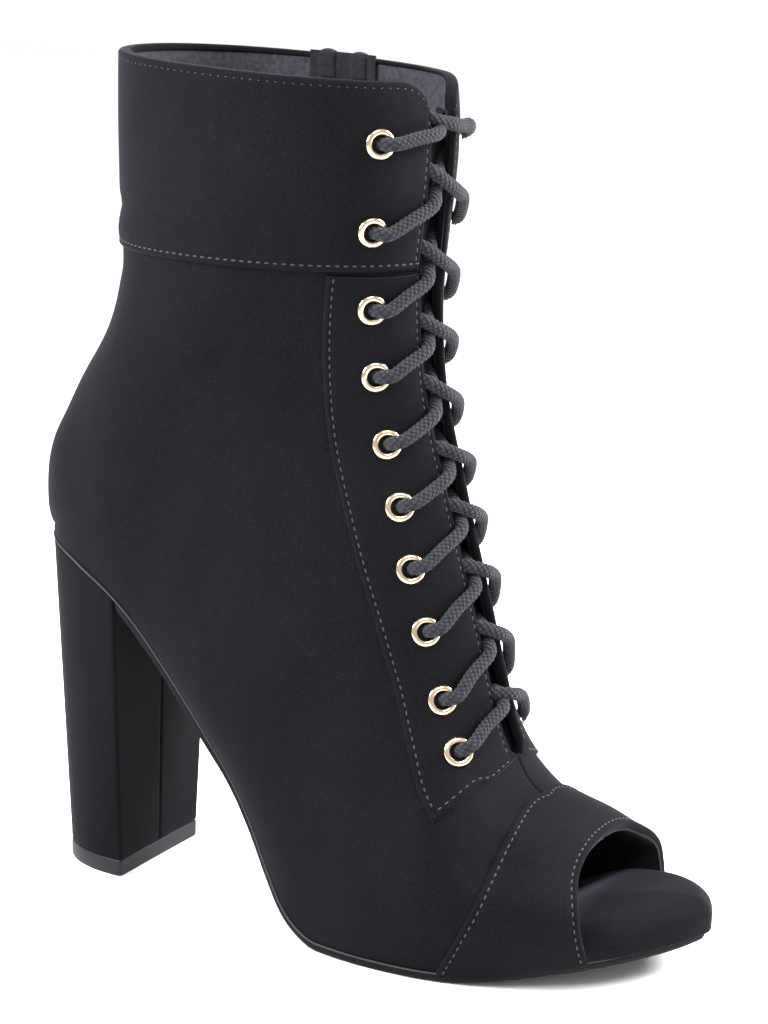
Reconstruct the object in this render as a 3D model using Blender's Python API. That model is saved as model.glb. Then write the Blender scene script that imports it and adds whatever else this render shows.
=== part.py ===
"""Peep-toe lace-up ankle boot with a covered block heel, right foot.

Metres, +Z up, toe towards +X, lateral side towards -Y. The floor is z = 0 and
the origin is on the underside of the heel's top piece. The upper's form is a fan
of cross-sections, numbered from 0 at the toe opening to 21 at the collar.
"""

import bmesh
import bpy
import numpy as np
from mathutils import Matrix, Vector

MM = 0.001

# Main sizes of the last and the shaft
LAST_LENGTH = 207.5 * MM
BALL_WIDTH = 79.0 * MM
SEAT_WIDTH = 56.0 * MM
HEEL_RISE = 97.5 * MM
TOE_SPRING = 9.2 * MM
VAMP_HEIGHT = 55.5 * MM
BOOT_HEIGHT = 241.5 * MM
COLLAR_WIDTH = 74.2 * MM
COLLAR_DEPTH = 96.6 * MM
COLLAR_DIP = 4.0 * MM
SHAFT_LEAN = 22.0 * MM

# Heel and sole
HEEL_BACK = -20.5 * MM
BREAST = 13.5 * MM
HEEL_FOOT_WIDTH = 43.0 * MM
HEEL_FOOT_DEPTH = 27.2 * MM
TOP_PIECE_THICKNESS = 5.0 * MM
SOLE_THICKNESS = 2.2 * MM
INSOLE_THICKNESS = 3.0 * MM
INSOLE_TOE_THICKNESS = 7.0 * MM
FEATHER_INSET = 0.9 * MM
GAP = 0.3 * MM

# Upper, overlays and tongue
WALL = 2.0 * MM
OVERLAY_THICKNESS = 1.1 * MM
OVERLAY_GAP = 0.45 * MM
TONGUE_THICKNESS = 1.6 * MM
TONGUE_WIDTH = 50.0 * MM
TONGUE_TOP_STATION = 20.1
TONGUE_FOOT_STATION = 3.4
CUFF_HEIGHT = 54.5 * MM
COLLAR_CORNER = 9.0 * MM
THROAT_GAP = 11.0 * MM
THROAT_FLARE = 4.0 * MM
THROAT_STATION = 4.0
EYESTAY_WIDTH = 35.0 * MM
EYESTAY_FOOT_WIDTH = 39.0 * MM
EYESTAY_TOP_GAP = 0.08
CAP_HEM = 0.4 * MM
INNER_GAP = 0.9 * MM

# Eyelets, lace and zip
EYELET_OUTER = 8.4 * MM
EYELET_HOLE = 4.6 * MM
EYELET_BARREL = 5.8 * MM
EYELET_FLANGE = 0.9 * MM
EYELET_TAPER = 0.15 * MM
EYELET_EDGE = 0.4 * MM
EYELET_CUTTER = 14.0 * MM
THROAT_CUTTER = 9.0 * MM
CUTTER_RISE = 12.0 * MM
LACE_DIAMETER = 4.2 * MM
ZIP_SHARE = 0.5
ZIP_FOOT_STATION = 12.6
ZIP_CHAIN_WIDTH = 4.6 * MM
ZIP_TAPE_WIDTH = 22.0 * MM
ZIP_TAPE_THICKNESS = 0.8 * MM
SLIDER_WIDTH = 8.0 * MM
SLIDER_LENGTH = 10.0 * MM
SLIDER_PLATE = 1.5 * MM
SLIDER_DROP = 9.0 * MM
PULL_LENGTH = 21.0 * MM
PULL_WIDTH = 6.0 * MM
PULL_THICKNESS = 1.2 * MM
BRIDGE_WIDTH = 1.6 * MM
BRIDGE_LEG = 1.2 * MM

# Outline of the sole: distance from the heel's back as a share of the last's
# length, half widths, and the height of the underside as a share of its rise
# Half widths are shares of the seat's width
# along, lateral, medial, rise, spring
SEAT_ROWS = (
    (0.000, 0.000, 0.000, 1.000, 0.0),
    (0.012, 0.188, 0.188, 0.997, 0.0),
    (0.043, 0.350, 0.350, 0.981, 0.0),
    (0.096, 0.454, 0.454, 0.940, 0.0),
    (0.164, 0.500, 0.491, 0.856, 0.0),
)
# Half widths are shares of the ball's width
# along, lateral, medial, rise, spring
SOLE_ROWS = (
    (0.227, 0.337, 0.317, 0.703, 0.0),
    (0.301, 0.322, 0.281, 0.497, 0.0),
    (0.347, 0.329, 0.261, 0.380, 0.0),
    (0.386, 0.360, 0.253, 0.272, 0.0),
    (0.424, 0.403, 0.256, 0.154, 0.0),
    (0.458, 0.448, 0.266, 0.070, 0.0),
    (0.492, 0.486, 0.286, 0.023, 0.0),
    (0.530, 0.517, 0.322, 0.000, 0.0),
    (0.583, 0.542, 0.375, 0.000, 0.0),
    (0.636, 0.549, 0.423, 0.000, 0.0),
    (0.684, 0.542, 0.451, 0.000, 0.0),
    (0.733, 0.519, 0.461, 0.000, 0.04),
    (0.781, 0.479, 0.454, 0.000, 0.175),
    (0.829, 0.423, 0.428, 0.000, 0.37),
    (0.877, 0.352, 0.387, 0.000, 0.565),
    (0.916, 0.276, 0.342, 0.000, 0.717),
    (0.954, 0.167, 0.266, 0.000, 0.86),
    (0.983, 0.051, 0.175, 0.000, 0.957),
    (1.000, -0.063, 0.063, 0.000, 1.0),
)

# Sections of the toe: base and crest as shares of the last's length, crest height
# as a share of the vamp's height, half widths and centre as shares of the ball
# base, crest, height, lateral, medial, widest, power, centre
TOE_ROWS = (
    (0.894, 0.868, 0.703, 0.361, 0.386, 0.36, 2.25, 0.013),
    (0.843, 0.831, 0.780, 0.437, 0.433, 0.34, 2.15, -0.008),
    (0.786, 0.790, 0.834, 0.488, 0.471, 0.32, 2.05, -0.015),
    (0.718, 0.759, 0.901, 0.532, 0.489, 0.28, 1.95, -0.020),
    (0.646, 0.740, 1.000, 0.539, 0.471, 0.25, 1.85, -0.028),
)
# Sections of the instep: the crest goes from the throat's foot to the collar
# base, reach, climb, lateral, medial, widest, power, centre
INSTEP_ROWS = (
    (0.578, 0.087, 0.033, 0.524, 0.435, 0.23, 1.80, -0.033),
    (0.506, 0.180, 0.074, 0.486, 0.395, 0.23, 1.80, -0.035),
    (0.448, 0.275, 0.129, 0.456, 0.375, 0.24, 1.85, -0.030),
    (0.386, 0.397, 0.206, 0.428, 0.370, 0.26, 1.90, -0.023),
    (0.313, 0.528, 0.283, 0.420, 0.375, 0.28, 1.95, -0.015),
    (0.227, 0.646, 0.354, 0.408, 0.377, 0.29, 2.00, -0.008),
    (0.140, 0.745, 0.415, 0.400, 0.382, 0.32, 2.05, 0.0),
    (0.068, 0.832, 0.470, 0.400, 0.387, 0.35, 2.10, 0.0),
)
# Sections of the shaft: the back seam goes from the seat to the collar, and half
# widths are shares of the collar's width
# back reach, back climb, reach, climb, lateral, medial, widest, power
SHAFT_ROWS = (
    (0.000, 0.000, 0.913, 0.530, 0.431, 0.421, 0.38, 2.15),
    (-0.134, 0.090, 0.971, 0.596, 0.439, 0.431, 0.41, 2.20),
    (-0.032, 0.196, 1.000, 0.662, 0.448, 0.442, 0.44, 2.20),
    (0.359, 0.323, 1.003, 0.728, 0.456, 0.453, 0.46, 2.20),
    (0.820, 0.450, 0.988, 0.788, 0.466, 0.464, 0.48, 2.20),
    (1.014, 0.566, 0.968, 0.843, 0.477, 0.474, 0.49, 2.20),
    (1.028, 0.707, 0.957, 0.893, 0.488, 0.485, 0.50, 2.20),
    (1.000, 0.862, 0.962, 0.948, 0.496, 0.493, 0.50, 2.20),
    (1.000, 1.000, 1.000, 1.000, 0.501, 0.499, 0.50, 2.20),
)
BACK_STATION = len(TOE_ROWS) + len(INSTEP_ROWS)
SEAT_STATION = BACK_STATION - 1
SEAT_STEPS = (0.4, 0.7, 0.88, 1.0)
TOP_STATION = BACK_STATION + len(SHAFT_ROWS) - 1
LOWER_POWER = 2.1
HALF_COLUMNS = 11

# Toe cap's rear seam: share of the way round from the crest, and station
CAP_SEAM = ((0.0, 2.40), (0.12, 2.55), (0.37, 2.42), (0.66, 2.45), (0.85, 2.78), (1.0, 3.08))
# Eyestay's lower edge: distance from the crest as a share of its width, and station
EYESTAY_FOOT = ((0.0, 4.04), (0.15, 3.90), (0.38, 3.98), (0.5, 4.30), (0.75, 4.55), (1.0, 4.80))
# Eyelet pairs from the top down: station, and distance from the crest line
EYELET_ROWS = (
    (19.45, 23.6 * MM),
    (17.20, 23.6 * MM),
    (15.35, 21.4 * MM),
    (13.85, 20.4 * MM),
    (12.25, 19.6 * MM),
    (10.65, 20.0 * MM),
    (9.45, 21.2 * MM),
    (8.35, 21.6 * MM),
    (7.15, 22.0 * MM),
    (5.80, 22.2 * MM),
)


def clear_scene():
    for item in list(bpy.data.objects):
        bpy.data.objects.remove(item, do_unlink=True)


def material(name, colour, roughness, metallic=0.0):
    made = bpy.data.materials.new(name)
    made.use_nodes = True
    shader = made.node_tree.nodes["Principled BSDF"]
    shader.inputs["Base Color"].default_value = (*colour, 1.0)
    shader.inputs["Roughness"].default_value = roughness
    shader.inputs["Metallic"].default_value = metallic
    return made


def mesh_object(name, points, faces, finish, smooth=True):
    mesh = bpy.data.meshes.new(name)
    mesh.from_pydata([tuple(map(float, point)) for point in points], [], faces)
    mesh.validate()
    work = bmesh.new()
    work.from_mesh(mesh)
    bmesh.ops.remove_doubles(work, verts=work.verts, dist=0.002 * MM)
    bmesh.ops.recalc_face_normals(work, faces=work.faces)
    work.to_mesh(mesh)
    work.free()
    if smooth:
        mesh.shade_smooth()
        mesh.set_sharp_from_angle(angle=0.6)
    made = bpy.data.objects.new(name, mesh)
    if finish is not None:
        mesh.materials.append(finish)
    bpy.context.scene.collection.objects.link(made)
    return made


def grid_faces(rows, columns, wrap=False):
    faces = []
    for i in range(rows - 1):
        for j in range(columns if wrap else columns - 1):
            k = (j + 1) % columns
            faces.append((i * columns + j, i * columns + k, (i + 1) * columns + k, (i + 1) * columns + j))
    return faces


def spline(rows, at):
    """Catmull-Rom values of a table's rows at fractional row numbers."""
    rows = np.asarray(rows, float)
    padded = np.vstack([2 * rows[0] - rows[1], rows, 2 * rows[-1] - rows[-2]])
    at = np.clip(np.atleast_1d(np.asarray(at, float)), 0.0, len(rows) - 1.0)
    first = np.minimum(at.astype(int), len(rows) - 2)
    t = (at - first)[:, None]
    a, b, c, d = (padded[first + k] for k in range(4))
    return 0.5 * (2 * b + (c - a) * t + (2 * a - 5 * b + 4 * c - d) * t**2 + (3 * b - a - 3 * c + d) * t**3)


def sole_lines():
    """Dense rows of x, lateral y, medial y and underside z along the sole."""
    rows = []
    for width, part in ((SEAT_WIDTH, SEAT_ROWS), (BALL_WIDTH, SOLE_ROWS)):
        for along, lateral, medial, rise, spring in part:
            height = rise * HEEL_RISE + spring * TOE_SPRING
            rows.append((HEEL_BACK + along * LAST_LENGTH, lateral * width, medial * width, height))
    dense = spline(rows, np.linspace(0.0, len(rows) - 1.0, 401))
    dense[:, 3] = np.maximum(dense[:, 3], 0.0)
    return dense


SOLE = sole_lines()


def normals_of(x, z):
    run = np.stack([np.gradient(x), np.gradient(z)], axis=1)
    run /= np.linalg.norm(run, axis=1)[:, None]
    return np.stack([-run[:, 1], run[:, 0]], axis=1)


def sole_level(lift):
    """The sole's underside in side view, moved by lift along its normal."""
    return SOLE[:, [0, 3]] + normals_of(SOLE[:, 0], SOLE[:, 3]) * lift


def level_at(x, lift):
    line = sole_level(lift)
    order = np.argsort(line[:, 0])
    return np.interp(x, line[order, 0], line[order, 1])


def edge_at(x, side, inset=0.0):
    """Half width of the sole at x, its outline moved in along its own normal."""
    edge = SOLE[:, [0, 1 if side < 0 else 2]]
    edge = edge - normals_of(edge[:, 0], edge[:, 1]) * inset
    order = np.argsort(edge[:, 0])
    return np.interp(x, edge[order, 0], edge[order, 1])


FEATHER_LIFT = SOLE_THICKNESS + 1.5 * GAP


def station_rows():
    """Base, crest, half widths, widest share, power and centre of each section."""
    rows = []
    collar_back = HEEL_BACK + SHAFT_LEAN
    collar_front = collar_back + COLLAR_DEPTH
    foot = HEEL_BACK + TOE_ROWS[-1][1] * LAST_LENGTH
    for base, crest, height, lateral, medial, widest, power, centre in TOE_ROWS:
        x = HEEL_BACK + base * LAST_LENGTH
        front = HEEL_BACK + crest * LAST_LENGTH
        rows.append((x, level_at(x, FEATHER_LIFT), front, height * VAMP_HEIGHT, lateral * BALL_WIDTH,
                     medial * BALL_WIDTH, widest, power, centre * BALL_WIDTH))
    climb_height = BOOT_HEIGHT - COLLAR_DIP - VAMP_HEIGHT
    for base, reach, climb, lateral, medial, widest, power, centre in INSTEP_ROWS:
        x = HEEL_BACK + base * LAST_LENGTH
        front = foot + reach * (collar_front - foot)
        rows.append((x, level_at(x, FEATHER_LIFT), front, VAMP_HEIGHT + climb * climb_height,
                     lateral * BALL_WIDTH, medial * BALL_WIDTH, widest, power, centre * BALL_WIDTH))
    seat_x = HEEL_BACK + FEATHER_INSET
    seat_z = level_at(seat_x, FEATHER_LIFT)
    for back_reach, back_climb, reach, climb, lateral, medial, widest, power in SHAFT_ROWS:
        back = seat_x + back_reach * (collar_back - seat_x)
        height = seat_z + back_climb * (BOOT_HEIGHT - seat_z)
        front = foot + reach * (collar_front - foot)
        rows.append((back, height, front, VAMP_HEIGHT + climb * climb_height,
                     lateral * COLLAR_WIDTH, medial * COLLAR_WIDTH, widest, power, 0.0))
    return np.array(rows)


STATIONS = station_rows()
STEPS = np.linspace(0.0, np.pi / 2, 40)


def half_section(station, side):
    """One side of a section, from its crest to its feather or back seam."""
    bx, bz, tx, tz, lateral, medial, widest, power, centre = spline(STATIONS, station)[0]
    reach = 0.0
    if station < BACK_STATION:
        bz = level_at(bx, FEATHER_LIFT)
        reach = max(edge_at(bx, side) - FEATHER_INSET - side * centre, 0.0)
    width = lateral if side < 0 else medial
    width = max(width, reach)
    low = 2.0 / LOWER_POWER
    high = 2.0 / power
    under = np.sqrt(reach**2 + (width**2 - reach**2) * np.sin(STEPS[::-1][1:]) ** (2 * low))
    across = np.concatenate([width * np.cos(STEPS[::-1]) ** high, under])
    along = np.concatenate([widest + (1 - widest) * np.sin(STEPS[::-1]) ** high,
                            widest * (1 - np.cos(STEPS[::-1][1:]) ** low)])
    points = np.stack([bx + (tx - bx) * along, centre + side * across, bz + (tz - bz) * along], axis=1)
    run = np.concatenate([[0.0], np.cumsum(np.linalg.norm(np.diff(points, axis=0), axis=1))])
    return points, run


def collar_dip_at(distance):
    """How far the collar's front corner is rounded down, in stations."""
    inner = (THROAT_GAP + THROAT_FLARE) / 2
    t = np.clip((distance - inner) / COLLAR_CORNER, 0.0, 1.0)
    return 0.85 * (1.0 - np.sqrt(1.0 - (1.0 - t) ** 2))


def on_last(station, side, share=None, distance=None):
    points, run = half_section(station, side)
    length = run[-1]
    at = share * girth(station, side) if distance is None else distance
    high = np.clip((station - (TOP_STATION - 2)) / 2, 0.0, 1.0)
    if high > 0.0:
        points, run = half_section(station - high**2 * collar_dip_at(at), side)
        at = at / length * run[-1]
    return np.array([np.interp(at, run, points[:, k]) for k in range(3)])


def girth(station, side):
    """Length of one side of a section, taken on round the seat to the back seam."""
    points, run = half_section(station, side)
    round_seat = SEAT_STATION < station < BACK_STATION
    return run[-1] + (abs(points[-1][1]) if round_seat else 0.0)


def outward(station, side, share):
    """Outward normal of the last's surface."""
    step = 0.04
    low = np.clip(station - step, 0.0, TOP_STATION)
    high = np.clip(station + step, 0.0, TOP_STATION)
    a = np.clip(share, 0.012, 0.988)
    along = on_last(high, side, a) - on_last(low, side, a)
    around = on_last(station, side, a + 0.012) - on_last(station, side, a - 0.012)
    if share < 0.012:
        around = np.array([0.0, side, 0.0])
    if share > 0.988 and station >= BACK_STATION:
        around = np.array([0.0, -side, 0.0])
    normal = np.cross(around, along) * side
    return normal / np.linalg.norm(normal)


def skin(station, signed, lift=0.0):
    """A point on the last: signed runs from -1 at the lateral feather to 1."""
    side = -1 if signed < 0 else 1
    share = abs(signed)
    point = on_last(station, side, share)
    if lift:
        point = point + outward(station, side, share) * lift
    return point


def skin_at(station, side, distance, lift=0.0):
    share = distance / girth(station, side)
    return on_last(station, side, share) + outward(station, side, share) * lift


def shell(name, grid, thickness, finish, wrap=False):
    """A closed sheet of even thickness, grown outwards or inwards from a grid."""
    rows, columns = grid.shape[:2]
    made = mesh_object(name, grid.reshape(-1, 3), grid_faces(rows, columns, wrap), finish)
    solid = made.modifiers.new("wall", "SOLIDIFY")
    solid.thickness = abs(thickness)
    solid.offset = 1.0 if thickness > 0 else -1.0
    return made


def point_faces_out(made):
    """Turn an open sheet so that its faces point away from the last's axis."""
    mesh = made.data
    total = 0.0
    centre = Vector((np.mean(STATIONS[:, [0, 2]]), 0.0, np.mean(STATIONS[:, [1, 3]])))
    for face in mesh.polygons:
        total += face.area * face.normal.dot(face.center - centre)
    if total < 0:
        mesh.flip_normals()


def cut(made, cutters):
    for cutter in cutters:
        boolean = made.modifiers.new("cut", "BOOLEAN")
        boolean.operation = "DIFFERENCE"
        boolean.object = cutter


def hide(cutter):
    cutter.hide_render = True
    cutter.display_type = "WIRE"
    return cutter


def half_gap(station):
    """Half of the throat's width, round at its foot and wider at the collar."""
    climb = (station - THROAT_STATION) / (TOP_STATION - THROAT_STATION)
    round_foot = np.sqrt(np.clip((station - THROAT_STATION) / 0.5, 0.0, 1.0))
    return max((THROAT_GAP + THROAT_FLARE * max(climb, 0.0) - THROAT_FLARE / 2) / 2 * round_foot, 0.05 * MM)


def ribbon_cutter(name, stations, centre_line, half_width, depth):
    """A closed band that follows the surface, to cut a slot through its walls."""
    points = []
    for station in stations:
        middle, normal, across = centre_line(station)
        width = half_width(station)
        for lift, turn in ((depth, -1), (depth, 1), (-depth, 1), (-depth, -1)):
            points.append(middle + normal * lift + across * width * turn)
    rise = points[-4:]
    above = (points[-4] - points[-8]) / np.linalg.norm(points[-4] - points[-8]) * CUTTER_RISE
    points += [point + above for point in rise]
    rows = len(points) // 4
    faces = grid_faces(rows, 4, wrap=True)
    faces += [(3, 2, 1, 0), tuple(4 * rows - 4 + k for k in range(4))]
    return hide(mesh_object(name, points, faces, None, smooth=False))


def crest_frame(station):
    middle = on_last(station, -1, share=0.0)
    return middle, outward(station, -1, 0.0), np.array([0.0, 1.0, 0.0])


def zip_frame(station):
    middle = skin(station, ZIP_SHARE)
    normal = outward(station, 1, ZIP_SHARE)
    across = skin(station, ZIP_SHARE + 0.02) - skin(station, ZIP_SHARE - 0.02)
    return middle, normal, across / np.linalg.norm(across)


def throat_cutter():
    foot = THROAT_STATION + np.array([0.0, 0.02, 0.08, 0.2, 0.35, 0.5])
    stations = list(foot) + list(np.arange(5.0, TOP_STATION + 0.5, 1.0))
    return ribbon_cutter("throat_cutter", stations, crest_frame, half_gap, THROAT_CUTTER)


def zip_stations():
    """The chain's two ends, and the upper's own stations between them."""
    low = ZIP_FOOT_STATION + 0.25
    high = TOP_STATION - 0.15
    return [low, *(s for s in upper_stations() if BACK_STATION + 0.2 < s < high), high]


def zip_cutter():
    stations = [ZIP_FOOT_STATION, *zip_stations(), TOP_STATION]
    width = ZIP_CHAIN_WIDTH / 2 + GAP
    return ribbon_cutter("zip_cutter", stations, zip_frame, lambda station: width, 6 * MM)


def eyelet_frames():
    """Seat and outward direction of each eyelet, on the plane its flange bears on."""
    frames = []
    rim = EYELET_OUTER / 2
    for number, (station, distance) in enumerate(EYELET_ROWS, start=1):
        for side, label in ((-1, "lateral"), (1, "medial")):
            place = skin_at(station, side, distance)
            pitch = np.linalg.norm(skin_at(station + 0.5, side, distance) - place)
            reach = 0.5 * rim / pitch
            around = [skin_at(station, side, distance + turn * rim) for turn in (-1, 1)]
            along = [skin_at(station + turn * reach, side, distance) for turn in (-1, 1)]
            normal = np.cross(around[1] - around[0], along[1] - along[0]) * side
            normal /= np.linalg.norm(normal)
            rise = max(0.0, *(float(np.dot(point - place, normal)) for point in around + along))
            frames.append((f"{label}_{number:02d}", place + normal * rise, normal))
    return frames


def turned_to(place, normal):
    turn = Vector(normal).to_track_quat("Z", "Y").to_matrix().to_4x4()
    return Matrix.Translation(Vector(place)) @ turn


def eyelet_cutters(frames):
    cutters = []
    mesh = bpy.data.meshes.new("eyelet_cutter")
    work = bmesh.new()
    radius = (EYELET_BARREL / 2 + GAP) / np.cos(np.pi / 8)
    bmesh.ops.create_cone(work, cap_ends=True, segments=8, radius1=radius, radius2=radius, depth=EYELET_CUTTER)
    work.to_mesh(mesh)
    work.free()
    for label, place, normal in frames:
        cutter = bpy.data.objects.new(f"eyelet_cutter_{label}", mesh)
        cutter.matrix_world = turned_to(place, normal)
        bpy.context.scene.collection.objects.link(cutter)
        cutters.append(hide(cutter))
    return cutters


def upper_stations():
    plain = list(np.arange(0.0, TOP_STATION + 0.5, 1.0))
    halves = [0.5, 1.5, 2.5, 3.5, 4.5, 5.5, 9.5, 10.5, 11.5]
    seat = [SEAT_STATION + step for step in SEAT_STEPS if step < 1.0]
    return sorted(plain + halves + seat + [BACK_STATION + 0.4, TOP_STATION - 0.5])


def half_shares():
    """Shares from crest to feather, closer together over the crest and at the back."""
    t = np.linspace(0.0, 1.0, HALF_COLUMNS + 1)
    return t - 0.35 * np.sin(2 * np.pi * t) / (2 * np.pi)


def seat_shares():
    """The same columns above the seat, and one more for each step round its back."""
    ends = []
    for step in (0.0, *SEAT_STEPS):
        station = SEAT_STATION + step
        length = half_section(station, -1)[1][-1]
        past = edge_at(spline(STATIONS, station)[0][0], -1) - FEATHER_INSET
        ends.append(length / (length + max(past, 0.0)) if step < 1.0 else 1.0)
    return np.concatenate([half_shares() * ends[0], ends[1:]])


def shares_between(start, end, half):
    """Signed shares from start to end, past 1 where they go round the back seam."""
    ring = np.concatenate([-half[::-1], half[1:], 2.0 - half[::-1][1:]])
    inner = [v for v in ring if start + 0.012 < v < end - 0.012]
    return [start, *inner, end]


def build_upper(finish, cutters):
    """A lofted sheet with one more column each side in each row round the seat."""
    low = half_shares()
    high = seat_shares()
    points = []
    faces = []
    before = None
    for station in upper_stations():
        half = low
        if station > SEAT_STATION:
            steps = sum(SEAT_STATION + step < station - 0.01 for step in SEAT_STEPS) + 1
            half = high[:min(HALF_COLUMNS + 1 + steps, len(high))]
        row = {}
        for j, share in enumerate(half):
            at_edge = j == len(half) - 1
            for sign in (-1, 1):
                row[sign * j] = len(points)
                points.append(skin(station, sign * (1.0 if at_edge else share) or 0.0))
        if before:
            reach = max(before)
            for j in range(-reach, reach):
                faces.append((before[j], before[j + 1], row[j + 1], row[j]))
            if max(row) > reach:
                faces.append((before[reach], row[reach + 1], row[reach]))
                faces.append((before[-reach], row[-reach], row[-reach - 1]))
        before = row
    made = mesh_object("upper", points, faces, finish)
    solid = made.modifiers.new("wall", "SOLIDIFY")
    solid.thickness = WALL
    solid.offset = -1.0
    point_faces_out(made)
    cut(made, cutters)
    return made


def patch(name, shares_and_stations, finish):
    """An overlay: each column runs through its stations at one signed share."""
    grid = []
    for share, stations in shares_and_stations:
        grid.append([skin(s, share, OVERLAY_GAP) for s in stations])
    made = shell(name, np.array(grid), OVERLAY_THICKNESS, finish)
    point_faces_out(made)
    return made


def build_toe_cap(finish):
    seam = np.array(CAP_SEAM)
    columns = []
    hem = 1.0 - CAP_HEM / girth(0.0, -1)
    for share in shares_between(-hem, hem, half_shares()):
        rear = float(np.interp(abs(share), seam[:, 0], seam[:, 1]))
        columns.append((share, np.linspace(0.0, rear, 5)))
    return patch("toe_cap", columns, finish)


def cuff_station(share):
    """Station where the cuff's level lower edge crosses a signed share."""
    level = BOOT_HEIGHT - CUFF_HEIGHT
    tries = np.linspace(BACK_STATION + 1.0, TOP_STATION, 60)
    heights = [skin(s, share)[2] for s in tries]
    return float(np.interp(level, heights, tries))


def build_cuff(name, start, end, finish, cutters):
    """Part of the cuff between two signed shares, the back seam being at 1."""
    columns = []
    for turn in shares_between(start, end, seat_shares()):
        share = turn if turn <= 1.0 else turn - 2.0
        low = cuff_station(share)
        level = TOP_STATION - 2.0
        columns.append((share, (*np.linspace(low, level, 4), level + 1.0, level + 1.5, TOP_STATION)))
    made = patch(name, columns, finish)
    cut(made, cutters)
    return made


def build_eyestay(name, side, finish, cutters):
    """A facing strip from the throat's edge out to its own width, under the cuff."""
    foot = np.array(EYESTAY_FOOT)
    grid = []
    for t in np.linspace(0.0, 1.0, 6):
        low = float(np.interp(t, foot[:, 0], foot[:, 1]))
        share = t * EYESTAY_WIDTH / girth(BACK_STATION + 3, side)
        high = cuff_station(side * share) - EYESTAY_TOP_GAP
        column = []
        for s in np.linspace(low, high, 16):
            climb = np.clip((s - low) / 3.0, 0.0, 1.0)
            width = EYESTAY_FOOT_WIDTH + (EYESTAY_WIDTH - EYESTAY_FOOT_WIDTH) * climb
            edge = half_gap(s)
            column.append(skin_at(s, side, edge + t * (width - edge), OVERLAY_GAP))
        grid.append(column)
    made = shell(name, np.array(grid), OVERLAY_THICKNESS, finish)
    point_faces_out(made)
    cut(made, cutters)
    return made


def build_tongue(finish):
    lift = -(WALL + INNER_GAP)
    grid = []
    for s in np.linspace(TONGUE_FOOT_STATION, TONGUE_TOP_STATION, 15):
        row = []
        for t in np.linspace(-1.0, 1.0, 7):
            side = -1 if t < 0 else 1
            row.append(skin_at(s, side, abs(t) * TONGUE_WIDTH / 2, lift))
        grid.append(row)
    made = shell("tongue", np.array(grid), -TONGUE_THICKNESS, finish)
    point_faces_out(made)
    return made


def plate(name, stations, finish):
    """A closed plate from rows of lateral and medial corners, bottom and top."""
    points = []
    for x_low, z_low, x_high, z_high, lateral, medial in stations:
        points += [(x_low, -lateral, z_low), (x_low, medial, z_low),
                   (x_high, medial, z_high), (x_high, -lateral, z_high)]
    rows = len(stations)
    faces = grid_faces(rows, 4, wrap=True)
    faces += [(3, 2, 1, 0), tuple(4 * rows - 4 + k for k in range(4))]
    return mesh_object(name, points, faces, finish)


def toe_spacing(start, end, count):
    """Values that crowd together towards the end, for a round toe."""
    t = np.linspace(0.0, 1.0, count)
    return start + (end - start) * (0.45 * t + 0.55 * np.sin(t * np.pi / 2))


def build_outsole(finish):
    low = sole_level(0.0)
    high = sole_level(SOLE_THICKNESS)
    start = BREAST + GAP
    tip = SOLE[-1, 0]
    rows = []
    for x in toe_spacing(start, tip, 34):
        at = np.interp(x, SOLE[:, 0], np.arange(len(SOLE)))
        pick = [np.interp(at, np.arange(len(SOLE)), line) for line in (low[:, 0], low[:, 1], high[:, 0], high[:, 1])]
        if x <= start:
            pick[2] = pick[0]
            pick[3] = level_at(x, SOLE_THICKNESS)
        rows.append((*pick, edge_at(x, -1), edge_at(x, 1)))
    return plate("outsole", rows, finish)


def build_insole(finish):
    opening = HEEL_BACK + TOE_ROWS[0][0] * LAST_LENGTH + GAP
    inner_edge = FEATHER_INSET + WALL + INNER_GAP
    back = HEEL_BACK + inner_edge
    tip = SOLE[-1, 0] - FEATHER_INSET
    rows = []
    ball = HEEL_BACK + 0.55 * LAST_LENGTH
    spots = [(x, inner_edge) for x in back + (opening - back) * (1 - np.cos(np.linspace(0, np.pi / 2, 24)))]
    spots += [(x, FEATHER_INSET) for x in toe_spacing(opening + GAP, tip, 12)]
    for x, inset in spots:
        thick = np.interp(x, (ball, opening), (INSOLE_THICKNESS, INSOLE_TOE_THICKNESS))
        sides = [edge_at(x, side, inset) for side in (-1, 1)]
        half = max(sum(sides) / 2, GAP)
        lateral = half - (sides[1] - sides[0]) / 2
        medial = half + (sides[1] - sides[0]) / 2
        rows.append((x, level_at(x, FEATHER_LIFT), x, level_at(x, FEATHER_LIFT + thick), lateral, medial))
    return plate("insole", rows, finish)


def heel_ring(scale, count=25):
    """Half-round heel outline at the foot: y from lateral corner round to medial."""
    turn = np.linspace(-np.pi / 2, np.pi / 2, count)
    x = BREAST - HEEL_FOOT_DEPTH * scale * np.cos(turn) ** 0.9
    y = HEEL_FOOT_WIDTH / 2 * scale * np.sign(np.sin(turn)) * np.abs(np.sin(turn)) ** 0.9
    return np.stack([x, y], axis=1)


def seat_ring(count=25):
    """The seat's outline from the lateral breast corner round the back."""
    seat = SOLE[SOLE[:, 0] <= BREAST]
    inset = FEATHER_INSET / 2
    loop = np.concatenate([np.stack([seat[::-1, 0], -seat[::-1, 1]], axis=1), np.stack([seat[:, 0], seat[:, 2]], axis=1)])
    run = np.concatenate([[0.0], np.cumsum(np.linalg.norm(np.diff(loop, axis=0), axis=1))])
    turn = np.sin(np.linspace(-np.pi / 2, np.pi / 2, count)) * 0.18 + np.linspace(-1, 1, count) * 0.82
    at = (turn + 1) / 2 * run[-1]
    ring = np.stack([np.interp(at, run, loop[:, k]) for k in range(2)], axis=1)
    ring[0, 0] = BREAST
    ring[-1, 0] = BREAST
    centre = np.array([BREAST, 0.0])
    out = ring - centre
    length = np.linalg.norm(out, axis=1)[:, None]
    return centre + out * (1 - inset / length)


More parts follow.
